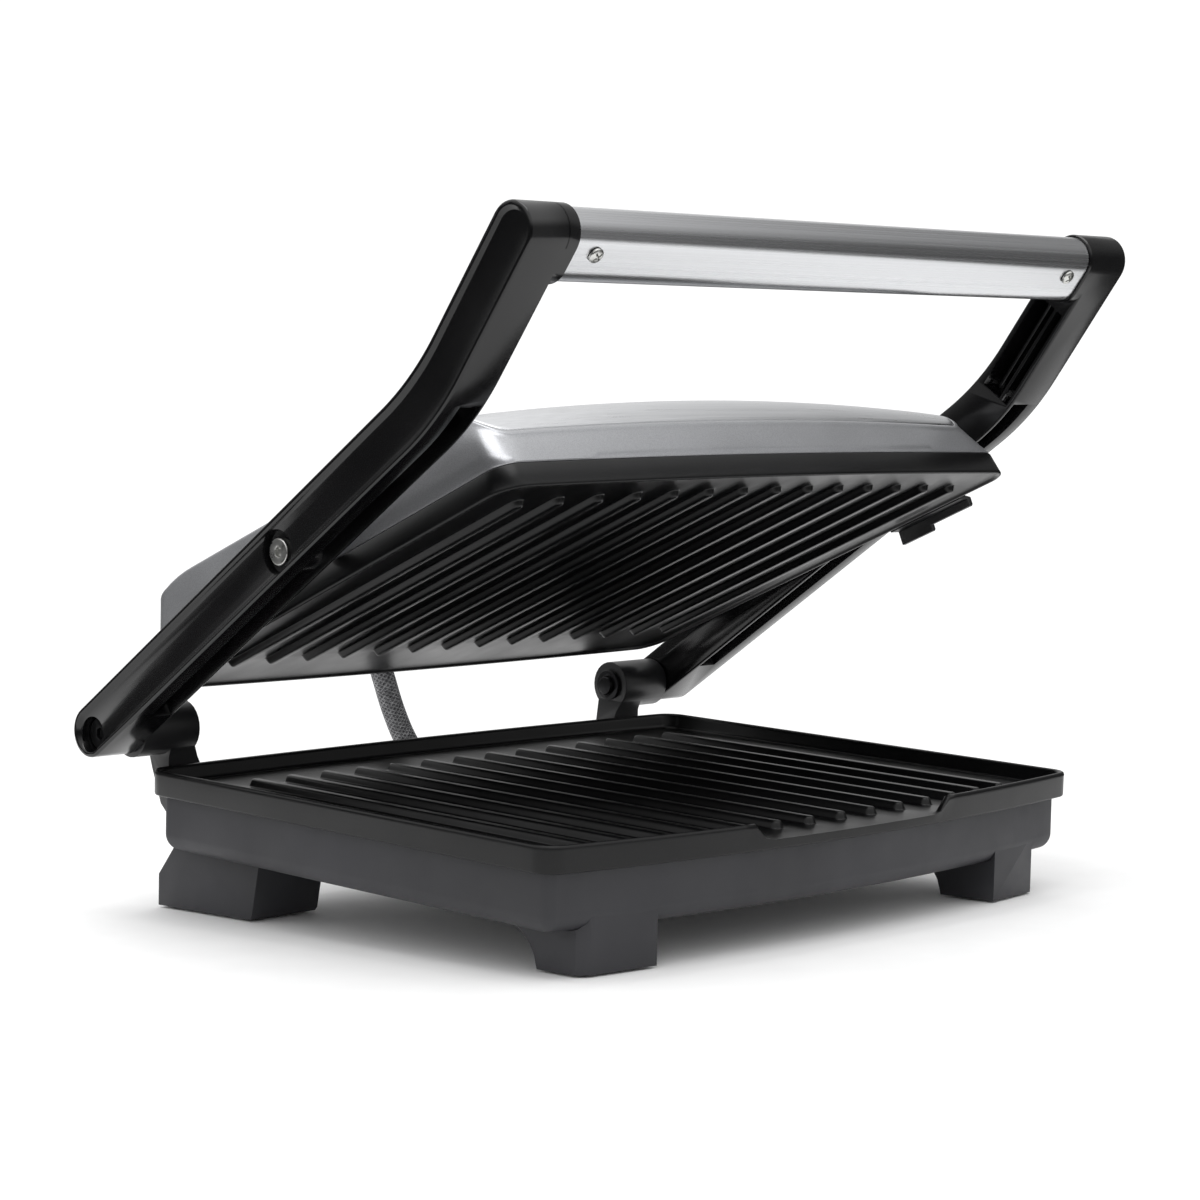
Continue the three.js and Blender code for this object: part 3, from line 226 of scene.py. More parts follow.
# --- Plan outlines: straight sides, round corners, front and rear edges bowed outwards ---
class Plan:
    corner_steps = 10
    bow_steps = 56
    side_steps = 36

    def __init__(self, half_width, front, rear, front_bow, rear_bow, corner):
        self.half_width, self.front, self.rear = half_width, front, rear
        self.front_bow, self.rear_bow, self.corner = front_bow, rear_bow, corner

    def edge(self, side, x):
        """Front (side -1) or rear (+1) edge at x."""
        reach = self.half_width - self.corner
        edge, bow = (self.front, self.front_bow) if side < 0 else (self.rear, self.rear_bow)
        return edge - side * bow * np.minimum(1, (np.asarray(x) / reach) ** 2)

    def end(self, side, inset):
        """Right corner, bowed edge and left corner of one end."""
        edge, bow = (self.front, self.front_bow) if side < 0 else (self.rear, self.rear_bow)
        edge -= side * inset
        half_width = self.half_width - inset
        radius = max(self.corner - inset, 2)
        reach = half_width - radius
        slope = math.degrees(math.atan(2 * bow / reach))
        centre = edge - side * (bow + radius)
        angles = arc(0, 90 - slope, self.corner_steps)
        corner = np.column_stack([reach + radius * np.cos(angles),
                                  centre + side * radius * np.sin(angles)])
        start = corner[-1]
        x = start[0] * np.linspace(1, -1, self.bow_steps + 1)[1:-1]
        bowed = np.column_stack([x, start[1] + (edge - start[1]) * (1 - (x / start[0]) ** 2)])
        return np.vstack([corner, bowed, (corner * (-1, 1))[::-1]])

    def outline(self, inset=0.0):
        rear, front = self.end(1, inset), self.end(-1, inset)[::-1]
        half_width = self.half_width - inset
        shares = np.linspace(0, 1, self.side_steps + 2)[1:-1]
        side = front[0][1] + (rear[0][1] - front[0][1]) * shares
        left = np.column_stack([np.full(len(side), -half_width), side[::-1]])
        right = np.column_stack([np.full(len(side), half_width), side])
        return np.vstack([rear, left, front, right])

    def ring(self, inset, height):
        """Outline at a height, which may be a function of (x, y)."""
        flat = self.outline(inset)
        level = height(flat[:, 0], flat[:, 1]) if callable(height) else height
        return np.column_stack([flat, np.broadcast_to(level, len(flat))])


BASE_PLAN = Plan(153, -127.5, 123.5, 12, 4.5, 10)
LID_PLAN = Plan(146, -5 - PIVOT_DEPTH, 230.5 - PIVOT_DEPTH, 3.5, 3, 12)
SEAM_PLAN = Plan(137.5, LID_PLAN.front + 8.5, LID_PLAN.rear - 4, 3.5, 3, 11)


# --- Meshes and pieces ---
def mesh_object(name, shape, place):
    points, faces = shape
    points = np.asarray(points) @ np.array(place.to_3x3()).T + np.array(place.translation)
    mesh = bpy.data.meshes.new(name)
    mesh.from_pydata(points.tolist(), [], faces)
    bm = bmesh.new()
    bm.from_mesh(mesh)
    bmesh.ops.recalc_face_normals(bm, faces=bm.faces)
    bm.to_mesh(mesh)
    bm.free()
    made = bpy.data.objects.new(name, mesh)
    bpy.context.scene.collection.objects.link(made)
    return made


def apply_modifiers(piece):
    shown = piece.evaluated_get(bpy.context.evaluated_depsgraph_get())
    mesh = bpy.data.meshes.new_from_object(shown)
    piece.modifiers.clear()
    piece.data = mesh


def combine(piece, shape, place, operation="DIFFERENCE"):
    """Cuts, joins or intersects a piece with a shape."""
    tool = mesh_object("tool", shape, place)
    change = piece.modifiers.new("combine", "BOOLEAN")
    change.operation, change.solver, change.object = operation, "EXACT", tool
    apply_modifiers(piece)
    bpy.data.objects.remove(tool)


def soften(piece, width, angle=40, segments=2):
    """Welds, clears flat seams and rounds the edges sharper than the angle. Width is in millimetres."""
    bm = bmesh.new()
    bm.from_mesh(piece.data)
    bmesh.ops.remove_doubles(bm, verts=bm.verts, dist=0.02 * MM)
    bmesh.ops.dissolve_limit(bm, angle_limit=math.radians(0.6), verts=bm.verts, edges=bm.edges)
    sharp = [e for e in bm.edges if len(e.link_faces) == 2
             and e.calc_face_angle(0) > math.radians(angle)]
    if width > 0:
        bmesh.ops.bevel(bm, geom=sharp, offset=width * MM, offset_type="OFFSET", segments=segments,
                        profile=0.5, affect="EDGES", clamp_overlap=True)
    bm.to_mesh(piece.data)
    bm.free()


def shade(piece, angle=38):
    piece.data.shade_smooth()
    piece.data.set_sharp_from_angle(angle=math.radians(angle))


def settle(piece, body, slot, *nodes, angle=38):
    """Last steps of every piece: shading, the material of its slot, its body, and hiding the nodes that it
    stands for.
    """
    shade(piece, angle)
    piece.data.materials.clear()
    piece.data.materials.append(FINISHES[slot])
    if body:
        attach(piece, body)
    if nodes:
        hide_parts(*nodes)
    return piece


def refined(node, slot, width, angle=40, segments=2):
    """A CAD node's own shape with rounded edges, welded and smoothly shaded."""
    source = frame["nodes"][node]
    piece = bpy.data.objects.new(node + "_piece", source.data.copy())
    bpy.context.scene.collection.objects.link(piece)
    soften(piece, width, angle, segments)
    return settle(piece, source["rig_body"], slot, node)


# --- Materials ---
def linear(hex_colour):
    channels = [int(hex_colour[i:i + 2], 16) / 255 for i in (1, 3, 5)]
    return [c / 12.92 if c <= 0.04045 else ((c + 0.055) / 1.055) ** 2.4 for c in channels] + [1]


class Finish:
    """A procedural material in object coordinates, so that it stays put on a piece that moves."""

    def __init__(self, name, metallic=0.0, **fixed):
        self.material = bpy.data.materials.new(name)
        self.material.use_nodes = True
        self.tree = self.material.node_tree
        self.shader = self.tree.nodes["Principled BSDF"]
        self.shader.inputs["Metallic"].default_value = metallic
        for socket, value in fixed.items():
            self.shader.inputs[socket.replace("_", " ")].default_value = value
        self.coordinates = self.tree.nodes.new("ShaderNodeTexCoord")
        self.source = "Object"
        self.normal = None

    def node(self, kind, **settings):
        made = self.tree.nodes.new(kind)
        for key, value in settings.items():
            setattr(made, key, value)
        return made

    def link(self, output, target):
        self.tree.links.new(output, target)

    def place(self, stretch=(1, 1, 1)):
        mapping = self.node("ShaderNodeMapping")
        mapping.inputs["Scale"].default_value = stretch
        self.link(self.coordinates.outputs[self.source], mapping.inputs["Vector"])
        return mapping.outputs["Vector"]

    def noise(self, scale, detail=4.0, rough=0.5, stretch=(1, 1, 1)):
        texture = self.node("ShaderNodeTexNoise")
        texture.inputs["Scale"].default_value = scale
        texture.inputs["Detail"].default_value = detail
        texture.inputs["Roughness"].default_value = rough
        self.link(self.place(stretch), texture.inputs["Vector"])
        return texture.outputs["Fac"]

    def cells(self, scale):
        texture = self.node("ShaderNodeTexVoronoi")
        texture.inputs["Scale"].default_value = scale
        self.link(self.place(), texture.inputs["Vector"])
        return texture.outputs["Distance"]

    def span(self, value, low, high, source=(0.3, 0.7)):
        """Maps the middle stretch of a texture onto low..high."""
        ranged = self.node("ShaderNodeMapRange")
        for socket, number in zip(("From Min", "From Max", "To Min", "To Max"), (*source, low, high)):
            ranged.inputs[socket].default_value = number
        self.link(value, ranged.inputs["Value"])
        return ranged.outputs["Result"]

    def blend(self, factor, first, second):
        mixed = self.node("ShaderNodeMix", data_type="RGBA")
        for socket, value in ((mixed.inputs[6], first), (mixed.inputs[7], second)):
            if isinstance(value, str):
                socket.default_value = linear(value)
            else:
                self.link(value, socket)
        self.link(factor, mixed.inputs[0])
        return mixed.outputs[2]

    def colour(self, output):
        self.link(output, self.shader.inputs["Base Color"])
        return self

    def roughness(self, output):
        self.link(output, self.shader.inputs["Roughness"])
        return self

    def bump(self, height, depth, strength=1.0):
        """Adds a relief of that depth in millimetres on top of the ones before it."""
        relief = self.node("ShaderNodeBump")
        relief.inputs["Distance"].default_value = depth * MM
        relief.inputs["Strength"].default_value = strength
        self.link(height, relief.inputs["Height"])
        if self.normal:
            self.link(self.normal, relief.inputs["Normal"])
        self.normal = relief.outputs["Normal"]
        self.link(self.normal, self.shader.inputs["Normal"])
        return self


def coated_plate():
    """Cast aluminium under a black non-stick coat with fine mica specks."""
    f = Finish("coated_plate", Specular_IOR_Level=0.3)
    specks = f.span(f.cells(900), 1, 0, (0.02, 0.16))
    cloud = f.noise(26, 5)
    f.colour(f.blend(specks, "#080809", "#232325"))
    f.roughness(f.span(cloud, 0.28, 0.4))
    return f.bump(f.noise(700, 3), 0.02, 0.5).bump(f.noise(110, 3), 0.05, 0.35)


def moulded(name, dark, light, rough, texture_depth, gloss=0.5):
    """Moulded plastic: spark-eroded texture, slight tint drift and rubbed patches."""
    f = Finish(name, Specular_IOR_Level=gloss)
    f.colour(f.blend(f.span(f.noise(18, 5), 0, 1), dark, light))
    f.roughness(f.span(f.noise(34, 6, 0.6), *rough))
    return f.bump(f.noise(1500, 4, 0.6), texture_depth, 0.6).bump(f.noise(12, 2), 0.3, 0.12)


def gloss_black():
    """Polished black ABS with faint sink waves and handling haze."""
    f = Finish("gloss_black_plastic", Specular_IOR_Level=0.5)
    f.colour(f.blend(f.span(f.noise(30, 3), 0, 1), "#060607", "#0b0b0c"))
    f.roughness(f.span(f.noise(22, 6, 0.62), 0.14, 0.27))
    return f.bump(f.noise(16, 2), 0.35, 0.12).bump(f.noise(500, 2), 0.008, 0.12)


def brushed(name, dark, light, rough, along, depth=0.012):
    """Metal with fine lines along one axis: along is the stretch of the brushing."""
    f = Finish(name, metallic=1.0)
    lines = f.noise(1, 6, 0.7, along)
    broad = f.noise(9, 4)
    f.colour(f.blend(f.span(lines, 0, 1), dark, light))
    f.roughness(f.span(f.noise(1, 3, 0.6, tuple(0.4 * a for a in along)), *rough))
    return f.bump(lines, depth, 0.8).bump(broad, 0.3, 0.06)


def painted_silver():
    """Silver lacquer over plastic: metal flake under a thin clear coat."""
    f = Finish("silver_shell", metallic=0.75, Coat_Weight=0.35, Coat_Roughness=0.12)
    flake = f.cells(2600)
    f.colour(f.blend(f.span(flake, 0, 1, (0.1, 0.6)), "#8f9093", "#a9aaad"))
    f.roughness(f.span(f.noise(40, 5), 0.3, 0.4))
    return f.bump(flake, 0.008, 0.35).bump(f.noise(14, 2), 0.3, 0.08)


def worn_metal(name, dark, light, rough, metallic=1.0):
    """Small steel fittings: turned or stamped, with handling marks."""
    f = Finish(name, metallic=metallic)
    f.colour(f.blend(f.span(f.noise(160, 5), 0, 1), dark, light))
    f.roughness(f.span(f.noise(240, 5, 0.6), *rough))
    return f.bump(f.noise(1100, 3), 0.015, 0.5)


def porous(name, dark, light, rough, depth, scale):
    f = Finish(name)
    f.colour(f.blend(f.span(f.noise(60, 5), 0, 1), dark, light))
    f.roughness(f.span(f.noise(90, 4), *rough))
    return f.bump(f.noise(scale, 4, 0.6), depth, 0.7)


def braided():
    """Glass braid: two families of strands that cross, counted round the lead and along it, with painted
    shade in the gaps between them.
    """
    f = Finish("braided_sleeve")
    f.source = "UV"
    strands = []
    for lean in (1, -1):
        separate = f.node("ShaderNodeSeparateXYZ")
        f.link(f.place(), separate.inputs[0])
        across = f.node("ShaderNodeMath", operation="MULTIPLY_ADD")
        f.link(separate.outputs["X"], across.inputs[0])
        across.inputs[1].default_value = lean * STRANDS_ROUND
        f.link(separate.outputs["Y"], across.inputs[2])
        wave = f.node("ShaderNodeMath", operation="SINE")
        turns = f.node("ShaderNodeMath", operation="MULTIPLY")
        turns.inputs[1].default_value = 2 * math.pi
        f.link(across.outputs[0], turns.inputs[0])
        f.link(turns.outputs[0], wave.inputs[0])
        strands.append(wave.outputs[0])
    over = f.node("ShaderNodeMath", operation="MAXIMUM")
    f.link(strands[0], over.inputs[0])
    f.link(strands[1], over.inputs[1])
    f.source = "Object"
    mottle = f.noise(420, 4)
    # Painted shade: the colour darkens in the low gaps between the strands, following the bump's height, and
    # is multiplied by a random mottle.
    gap_shade_and_mottle = f.node("ShaderNodeMath", operation="MULTIPLY")
    f.link(f.span(over.outputs[0], 0.25, 1, (-0.3, 1)), gap_shade_and_mottle.inputs[0])
    f.link(f.span(mottle, 0.35, 1), gap_shade_and_mottle.inputs[1])
    f.colour(f.blend(gap_shade_and_mottle.outputs[0], "#3c3c40", "#b0b0b2"))
    f.roughness(f.span(mottle, 0.55, 0.8))
    return f.bump(over.outputs[0], 0.35, 0.8)


def lens(name, dark, light):
    """Tinted indicator lens, slightly cloudy inside."""
    f = Finish(name, Transmission_Weight=0.35, IOR=1.49, Coat_Weight=0.5)
    f.colour(f.blend(f.span(f.noise(300, 3), 0, 1), dark, light))
    f.roughness(f.span(f.noise(500, 3), 0.08, 0.2))
    return f.bump(f.noise(200, 2), 0.02, 0.2)


FINISHES = {
    "coated_plate": coated_plate(),
    "charcoal_plastic": moulded("charcoal_plastic", "#29292c", "#303034", (0.42, 0.58), 0.03, 0.42),
    "gloss_black_plastic": gloss_black(),
    "black_plastic": moulded("black_plastic", "#121213", "#1b1b1d", (0.33, 0.5), 0.02),
    "silver_shell": painted_silver(),
    "silver_panel": brushed(
        "silver_panel", "#c3c4c6", "#d6d7d9", (0.26, 0.38), (8, 1800, 1800), depth=0.004),
    "brushed_steel": brushed(
        "brushed_steel", "#c9cacc", "#d6d7d9", (0.2, 0.3), (2.5, 2600, 2600), depth=0.002),
    "plated_steel": worn_metal("plated_steel", "#b2b2af", "#dadad7", (0.2, 0.4)),
    "blackened_steel": worn_metal("blackened_steel", "#161617", "#242426", (0.3, 0.5), 0.8),
    "heater_sheath": worn_metal("heater_sheath", "#5b5750", "#8d887e", (0.4, 0.62), 0.9),
    "sheet_aluminium": brushed("sheet_aluminium", "#b0b2b5", "#cfd1d3", (0.3, 0.46), (30, 900, 900)),
    "pad_rubber": porous("pad_rubber", "#141414", "#202020", (0.78, 0.95), 0.06, 900),
    "ceramic": porous("ceramic", "#d8d0bf", "#ece6d8", (0.55, 0.75), 0.05, 600),
    "braided_sleeve": braided(),
    "red_lens": lens("red_lens", "#8a0f0c", "#c92a20"),
    "green_lens": lens("green_lens", "#136b28", "#2fae4c"),
}
FINISHES = {slot: made.material for slot, made in FINISHES.items()}


# --- Grill plates ---
# Section of a ridge: (distance from its middle line, share of its height), root fillet to crest
RIDGE_SECTION = ((3.7, 0.0), (3.3, 0.02), (3.0, 0.1), (2.85, 0.24), (2.4, 0.62), (2.15, 0.8),
                 (1.8, 0.92), (1.35, 0.985), (0.75, 1.0))


def ridge_rings(x, y, floor, height):
    """Rings of a round-ended ridge from y[0] to y[1], from its root to its crest."""
    radius = RIDGE_SECTION[0][0]
    middle = (y[0] + radius, y[1] - radius)
    rings = []
    for reach, share in RIDGE_SECTION:
        flat = round_ended(x, middle, reach, 10)
        rings.append(np.column_stack([flat, np.full(len(flat), floor + share * height)]))
    return rings


def plate(name, shell_rings, ridges, place):
    """One closed casting: a shell that ends at its floor's edge, and ridges that rise from the floor."""
    count = len(shell_rings[0])
    points, faces = loft(shell_rings)
    faces.pop()                                    # the floor is filled round the ridges instead
    loops = [list(range(len(points) - count, len(points)))]
    for rings in ridges:
        start = len(points)
        ridge_points, ridge_faces = loft(rings)
        ridge_faces.pop(-2)                        # open at the root
        faces += [tuple(i + start for i in face) for face in ridge_faces]
        loops.append(list(range(start, start + len(rings[0]))))
        points = np.vstack([points, ridge_points])
    made = mesh_object(name, (points, faces), place)
    bm = bmesh.new()
    bm.from_mesh(made.data)
    bm.verts.ensure_lookup_table()
    edges = []
    for loop in loops:
        for i, first in enumerate(loop):
            pair = bm.verts[first], bm.verts[loop[(i + 1) % len(loop)]]
            edges.append(bm.edges.get(pair) or bm.edges.new(pair))
    bmesh.ops.triangle_fill(bm, use_beauty=True, edges=edges)
    bmesh.ops.recalc_face_normals(bm, faces=bm.faces)
    bm.to_mesh(made.data)
    bm.free()
    return made


def lower_grill_plate():
    def notched(height):
        """The rim's height at x: it drops to the plate in the notch at the front."""
        def level(x, y):
            beyond = (np.abs(x) - NOTCH_HALF_BOTTOM) / (NOTCH_HALF_TOP - NOTCH_HALF_BOTTOM)
            open_share = 1 - smooth_step(beyond)
            in_front = np.where(y < 0, open_share, 0)
            return height - in_front * max(height - PLATE_TOP, 0)
        return level

    section = [(RIM_DRAFT + 0.7, RIM_BOTTOM), (RIM_DRAFT + 0.15, RIM_BOTTOM + 0.25),
               (RIM_DRAFT - 0.1, RIM_BOTTOM + 0.9), (0.25, RIM_TOP - 2.1), (0.12, RIM_TOP - 1.2),
               (0.4, RIM_TOP - 0.45), (0.95, RIM_TOP - 0.08), (1.5, RIM_TOP), (2.1, RIM_TOP - 0.15),
               (2.7, RIM_TOP - 0.7), (3.0, RIM_TOP - 1.6), (3.6, PLATE_TOP + 1.8),
               (3.9, PLATE_TOP + 0.9), (4.5, PLATE_TOP + 0.3), (5.3, PLATE_TOP + 0.06), (6.2, PLATE_TOP)]
    shell = [BASE_PLAN.ring(inset, notched(height)) for inset, height in section]
    ridges = []
    for i in range(RIDGE_COUNT):
        x = (i - (RIDGE_COUNT - 1) / 2) * LOWER_PITCH
        front = BASE_PLAN.edge(-1, x) + LOWER_MARGIN
        ridges.append(ridge_rings(x, (front, LOWER_RIDGE_REAR), PLATE_TOP, LOWER_RIDGE_HEIGHT))
    made = plate("lower_plate_casting", shell, ridges, BASE)
    settle(made, "base", "coated_plate", "lower_grill_plate", angle=50)


def upper_grill_plate():
    section = [(6.0, 5.2), (5.6, RIM_HEIGHT - 0.3), (5.2, RIM_HEIGHT), (2.4, RIM_HEIGHT),
               (2.0, RIM_HEIGHT - 0.4), (0.35, 2.0), (0.1, 1.1), (0.3, 0.35), (0.9, 0.0),
               (1.5, 0.05), (2.0, 0.35), (2.5, 0.8), (3.2, 1.1), (4.2, PLATE_RECESS)]
    shell = [LID_PLAN.ring(inset, lid_level(height)) for inset, height in section]
    ridges = []
    for i in range(RIDGE_COUNT):
        x = (i - (RIDGE_COUNT - 1) / 2) * UPPER_PITCH
        front = LID_PLAN.edge(-1, x) + UPPER_MARGIN + UPPER_MARGIN_BOW * (x / LID_PLAN.half_width) ** 2
        ridges.append(ridge_rings(
            x, (front, UPPER_RIDGE_REAR), lid_level(PLATE_RECESS), -UPPER_RIDGE_HEIGHT))
    made = plate("upper_plate_casting", shell, ridges, LID)
    settle(made, "lid", "coated_plate", "upper_grill_plate", angle=50)


# --- Base: casing and feet ---
def base_casing():
    lower_round = [(CASING_INSET + CASING_ROUND * (1 - math.sin(a)),
                    CASING_BOTTOM + CASING_ROUND * (1 - math.cos(a))) for a in arc(8, 90, 9)]
    outer = [(CASING_INSET + CASING_ROUND - 0.5, CASING_BOTTOM), *lower_round[1:],
             (CASING_INSET + 0.05, CASING_TOP - 0.4), (CASING_INSET + 0.4, CASING_TOP)]
    inside = CASING_INSET + CASING_WALL
    inner = [(inside, CASING_TOP), (inside, CASING_BOTTOM + 8), (inside + 1.4, CASING_BOTTOM + 4),
             (inside + 5, CASING_BOTTOM + CASING_WALL)]
    made = mesh_object("casing_shell", loft(
        [BASE_PLAN.ring(inset, height) for inset, height in outer + inner]), BASE)
    slots = []
    reach = VENT_HALF_LENGTH - VENT_HALF_WIDTH
    for row in VENT_ROWS:
        for i in range(VENT_COUNT):
            x = (i - (VENT_COUNT - 1) / 2) * VENT_PITCH
            flat = round_ended(x, (row - reach, row + reach), VENT_HALF_WIDTH, 8)
            slots.append(loft([np.column_stack([flat, np.full(len(flat), z)])
                               for z in (CASING_BOTTOM - 1, CASING_BOTTOM + 5)]))
    for (x, z), radius in ((CONDUIT_BASE, CONDUIT_HOLE), (GLAND, GLAND_HOLE)):
        slots.append(turned([(radius, 0), (radius, REAR_HOLE_LENGTH)], (x, REAR_HOLE_START, z),
                            (0, 1, 0), 32))
    combine(made, merge(*slots), BASE)
    soften(made, 0.35, 50)
    settle(made, "base", "charcoal_plastic", "base_casing")


def feet():
    for end in ("front", "rear"):
        for side, _ in SIDES:
            refined(f"foot_{end}_{side}", "charcoal_plastic", 1.6, 35, 4)
            refined(f"foot_pad_{end}_{side}", "pad_rubber", 0.4)
            refined(f"foot_screw_{end}_{side}", "plated_steel", 0.25)


# --- Arms and handle, drawn from the hinge axis as (y, z), forward along -Y ---
def on_upper(along, square):
    """Point given along and square to the arms' upper length."""
    return np.array([square * math.sin(CLIMB) - along * math.cos(CLIMB),
                     square * math.cos(CLIMB) + along * math.sin(CLIMB)])


def quadratic(start, control, end, steps):
    t = np.linspace(0, 1, steps + 1)[:, None]
    return (1 - t) ** 2 * start + 2 * t * (1 - t) * control + t ** 2 * end


def subdivided(start, end, steps):
    return np.linspace(start, end, steps + 1)[1:-1]


def bend(edge, level):
    """Smooth turn from a lower length's edge to the upper length's edge of the same side."""
    corner = np.array([(edge - level * math.cos(CLIMB)) / math.sin(CLIMB), level])
    before = corner + (ARM_BLEND, 0)
    after = corner + ARM_BLEND * np.array([-math.cos(CLIMB), math.sin(CLIMB)])
    return quadratic(before, corner, after, 12)


def arm_side(inset):
    """Side outline of an arm, drawn smaller all round by the inset."""
    half = ARM_HALF - inset
    near, far = UPPER_NEAR - inset, UPPER_FAR + inset
    radius = (near - far) / 2
    tip = np.array([on_upper(UPPER_END - inset - radius + radius * math.sin(a),
                             (near + far) / 2 + radius * math.cos(a)) for a in arc(0, 180, 20)])
    boss = np.array([(half * math.cos(a), ARM_MIDDLE + half * math.sin(a)) for a in arc(-90, 90, 20)])
    above, below = bend(near, ARM_MIDDLE + half), bend(far, ARM_MIDDLE - half)[::-1]
    return np.vstack([
        boss, subdivided(boss[-1], above[0], 12), above, subdivided(above[-1], tip[0], 8),
        tip, subdivided(tip[-1], below[0], 8), below, subdivided(below[-1], boss[0], 12)])


def handle_section(inset, steps=20):
    """Round-ended section of the handle at the arms' tips."""
    radius = (UPPER_NEAR - UPPER_FAR) / 2 - inset
    middle = (UPPER_NEAR + UPPER_FAR) / 2
    ends = ((UPPER_END - inset - radius, 0), (UPPER_END - HANDLE_LENGTH + inset + radius, 180))
    return np.array([on_upper(along + radius * math.sin(a), middle + radius * math.cos(a))
                     for along, turn in ends for a in arc(turn, turn + 180, steps)])


# Section across an arm, from its inner face to the middle of its outer face: (x, inset)
ARM_SECTION = (
    (ARM_INNER, 0.8), (ARM_INNER + 0.25, 0.3), (ARM_INNER + 0.8, 0.0),
    (ARM_OUTER - 1.0, 0.0), (ARM_OUTER - 0.5, 0.12), (ARM_OUTER - 0.15, 0.42), (ARM_OUTER, 0.9),
    (ARM_OUTER, 1.5), (ARM_OUTER - 0.2, 2.1), (ARM_OUTER - 0.8, 2.6), (ARM_OUTER - 1.4, 3.1),
    (ARM_OUTER - 1.6, 3.7), (ARM_OUTER - 1.7, 5.0), (ARM_OUTER - 1.85, 7.0), (ARM_OUTER - 1.9, 9.6))


def along_x(radius, x, y, z, sign, sides=48):
    """Round bar between two distances from the middle, on the side given by sign."""
    return turned([(radius, sign * x[0]), (radius, sign * x[1])], (0, y, z), (1, 0, 0), sides)


def square_bar(x, radius, depth):
    """Round bar square to the handle's front face, through it at x."""
    y, z = on_upper(SCREW_ALONG, UPPER_FAR)
    axis = (0, math.sin(CLIMB), math.cos(CLIMB))
    return turned([(radius, depth[0]), (radius, depth[1])], (x, y, z), axis, 32)


def slab(outline, x, sign):
    """One (y, z) outline pulled straight across between two distances from the middle."""
    return stack_x(lambda inset: outline, [(distance, 0) for distance in x], sign)


def groove(x, depth, sign):
    """Tool that cuts a groove in an arm's underside, its floor following the arm's turn."""
    def edge(inset):
        level, far = ARM_MIDDLE - ARM_HALF + inset, UPPER_FAR + inset
        return np.vstack([[-CHANNEL_START, level], bend(far, level),
                          on_upper(CHANNEL_END + ARM_BLEND, far)])

    tool = mesh_object("groove", slab(np.vstack([edge(depth), edge(-1)[::-1]]), x, sign), ARMS)
    lower = np.array([(0, 2 * ARM_HALF), on_upper(CHANNEL_END, UPPER_NEAR),
                      on_upper(CHANNEL_END, BELOW_ARM), (0, BELOW_ARM)])
    combine(tool, slab(lower, (x[0] - 1, x[1] + 1), sign), ARMS, "INTERSECT")
    return tool


def pocket_band(x, start, end, sign, extra=0):
    """Band of the upper length between two distances from its front face, as far as the pocket runs."""
    low, high = POCKET_ALONG[0] - extra, POCKET_ALONG[1] + extra
    corners = [(high, end), (low, end), (low, start), (high, start)]
    return slab(np.array([on_upper(along, UPPER_FAR + square) for along, square in corners]), x, sign)


def pocket(sign):
    """Tool that cuts the pocket in the inner side of the upper length, round its two ribs."""
    tool = mesh_object("pocket", pocket_band(
        POCKET_REACH, POCKET_SKIN, UPPER_NEAR - UPPER_FAR - POCKET_SKIN, sign), ARMS)
    for start, end, inner in POCKET_RIBS:
        combine(tool, pocket_band((inner, ARM_OUTER), start, end, sign, 1), ARMS)
    return tool


def carve(piece, tool):
    """Cuts a piece with a tool that is used up."""
    cutter = piece.modifiers.new("carve", "BOOLEAN")
    cutter.operation, cutter.solver, cutter.object = "DIFFERENCE", "EXACT", tool
    apply_modifiers(piece)
    bpy.data.objects.remove(tool)


def arm(side, sign):
    pivot = (-PIVOT_FORWARD, PIVOT_RISE)
    through = (ARM_INNER - 1, ARM_OUTER + 1)
    made = mesh_object("arm_moulding_" + side, stack_x(arm_side, ARM_SECTION, sign), ARMS)
    for x, depth in ((CHANNEL_X, CHANNEL_DEPTH), ((CHANNEL_X[0], RIB_X[0]), RIB_SLOT_DEPTH),
                     ((RIB_X[1], CHANNEL_X[1]), RIB_SLOT_DEPTH)):
        carve(made, groove(x, depth, sign))
    carve(made, pocket(sign))
    for shape in (
            stack_x(handle_section,
                    ((SLEEVE_INNER, 0.5), (SLEEVE_INNER + 0.5, 0), (ARM_INNER + 1.5, 0)), sign),
            stack_x(lambda inset: handle_section(TUBE_INSET + TUBE_WALL + 0.3 + inset),
                    ((TONGUE_INNER, 0.4), (TONGUE_INNER + 0.5, 0), (SLEEVE_INNER + 1.5, 0)), sign),
            along_x(PIVOT_BOSS, (ARM_INNER + 0.5, ARM_OUTER - 2.4), *pivot, sign)):
        combine(made, shape, ARMS, "UNION")
    for shape in (
            along_x(PIVOT_HOLE, through, *pivot, sign),
            along_x(PIVOT_RECESS, (ARM_OUTER - PIVOT_RECESS_DEPTH, through[1]), *pivot, sign),
            along_x(HINGE_HOLE, through, 0, 0, sign),
            along_x(HINGE_RECESS, (ARM_OUTER - HINGE_RECESS_DEPTH, through[1]), 0, 0, sign),
            square_bar(sign * SCREW_X, SCREW_HOLE, (-2, 9))):
        combine(made, shape, ARMS)
    soften(made, 0.35, 48)
    settle(made, "arms", "gloss_black_plastic", "arm_" + side, angle=42)


def handle_tube():
    length = SLEEVE_INNER - 0.3
    sections = ((-length, TUBE_INSET + 0.25), (-length + 0.25, TUBE_INSET), (length - 0.25, TUBE_INSET),
                (length, TUBE_INSET + 0.25), (length, TUBE_INSET + TUBE_WALL),
                (-length, TUBE_INSET + TUBE_WALL))
    made = mesh_object("handle_grip_tube", stack_x(
        lambda inset: handle_section(inset, 28), sections, ends=False), ARMS)
    for _, sign in SIDES:
        combine(made, square_bar(sign * SCREW_X, TUBE_SCREW_HOLE, (-3, 6)), ARMS)
    settle(made, "arms", "brushed_steel", "handle_tube", angle=42)


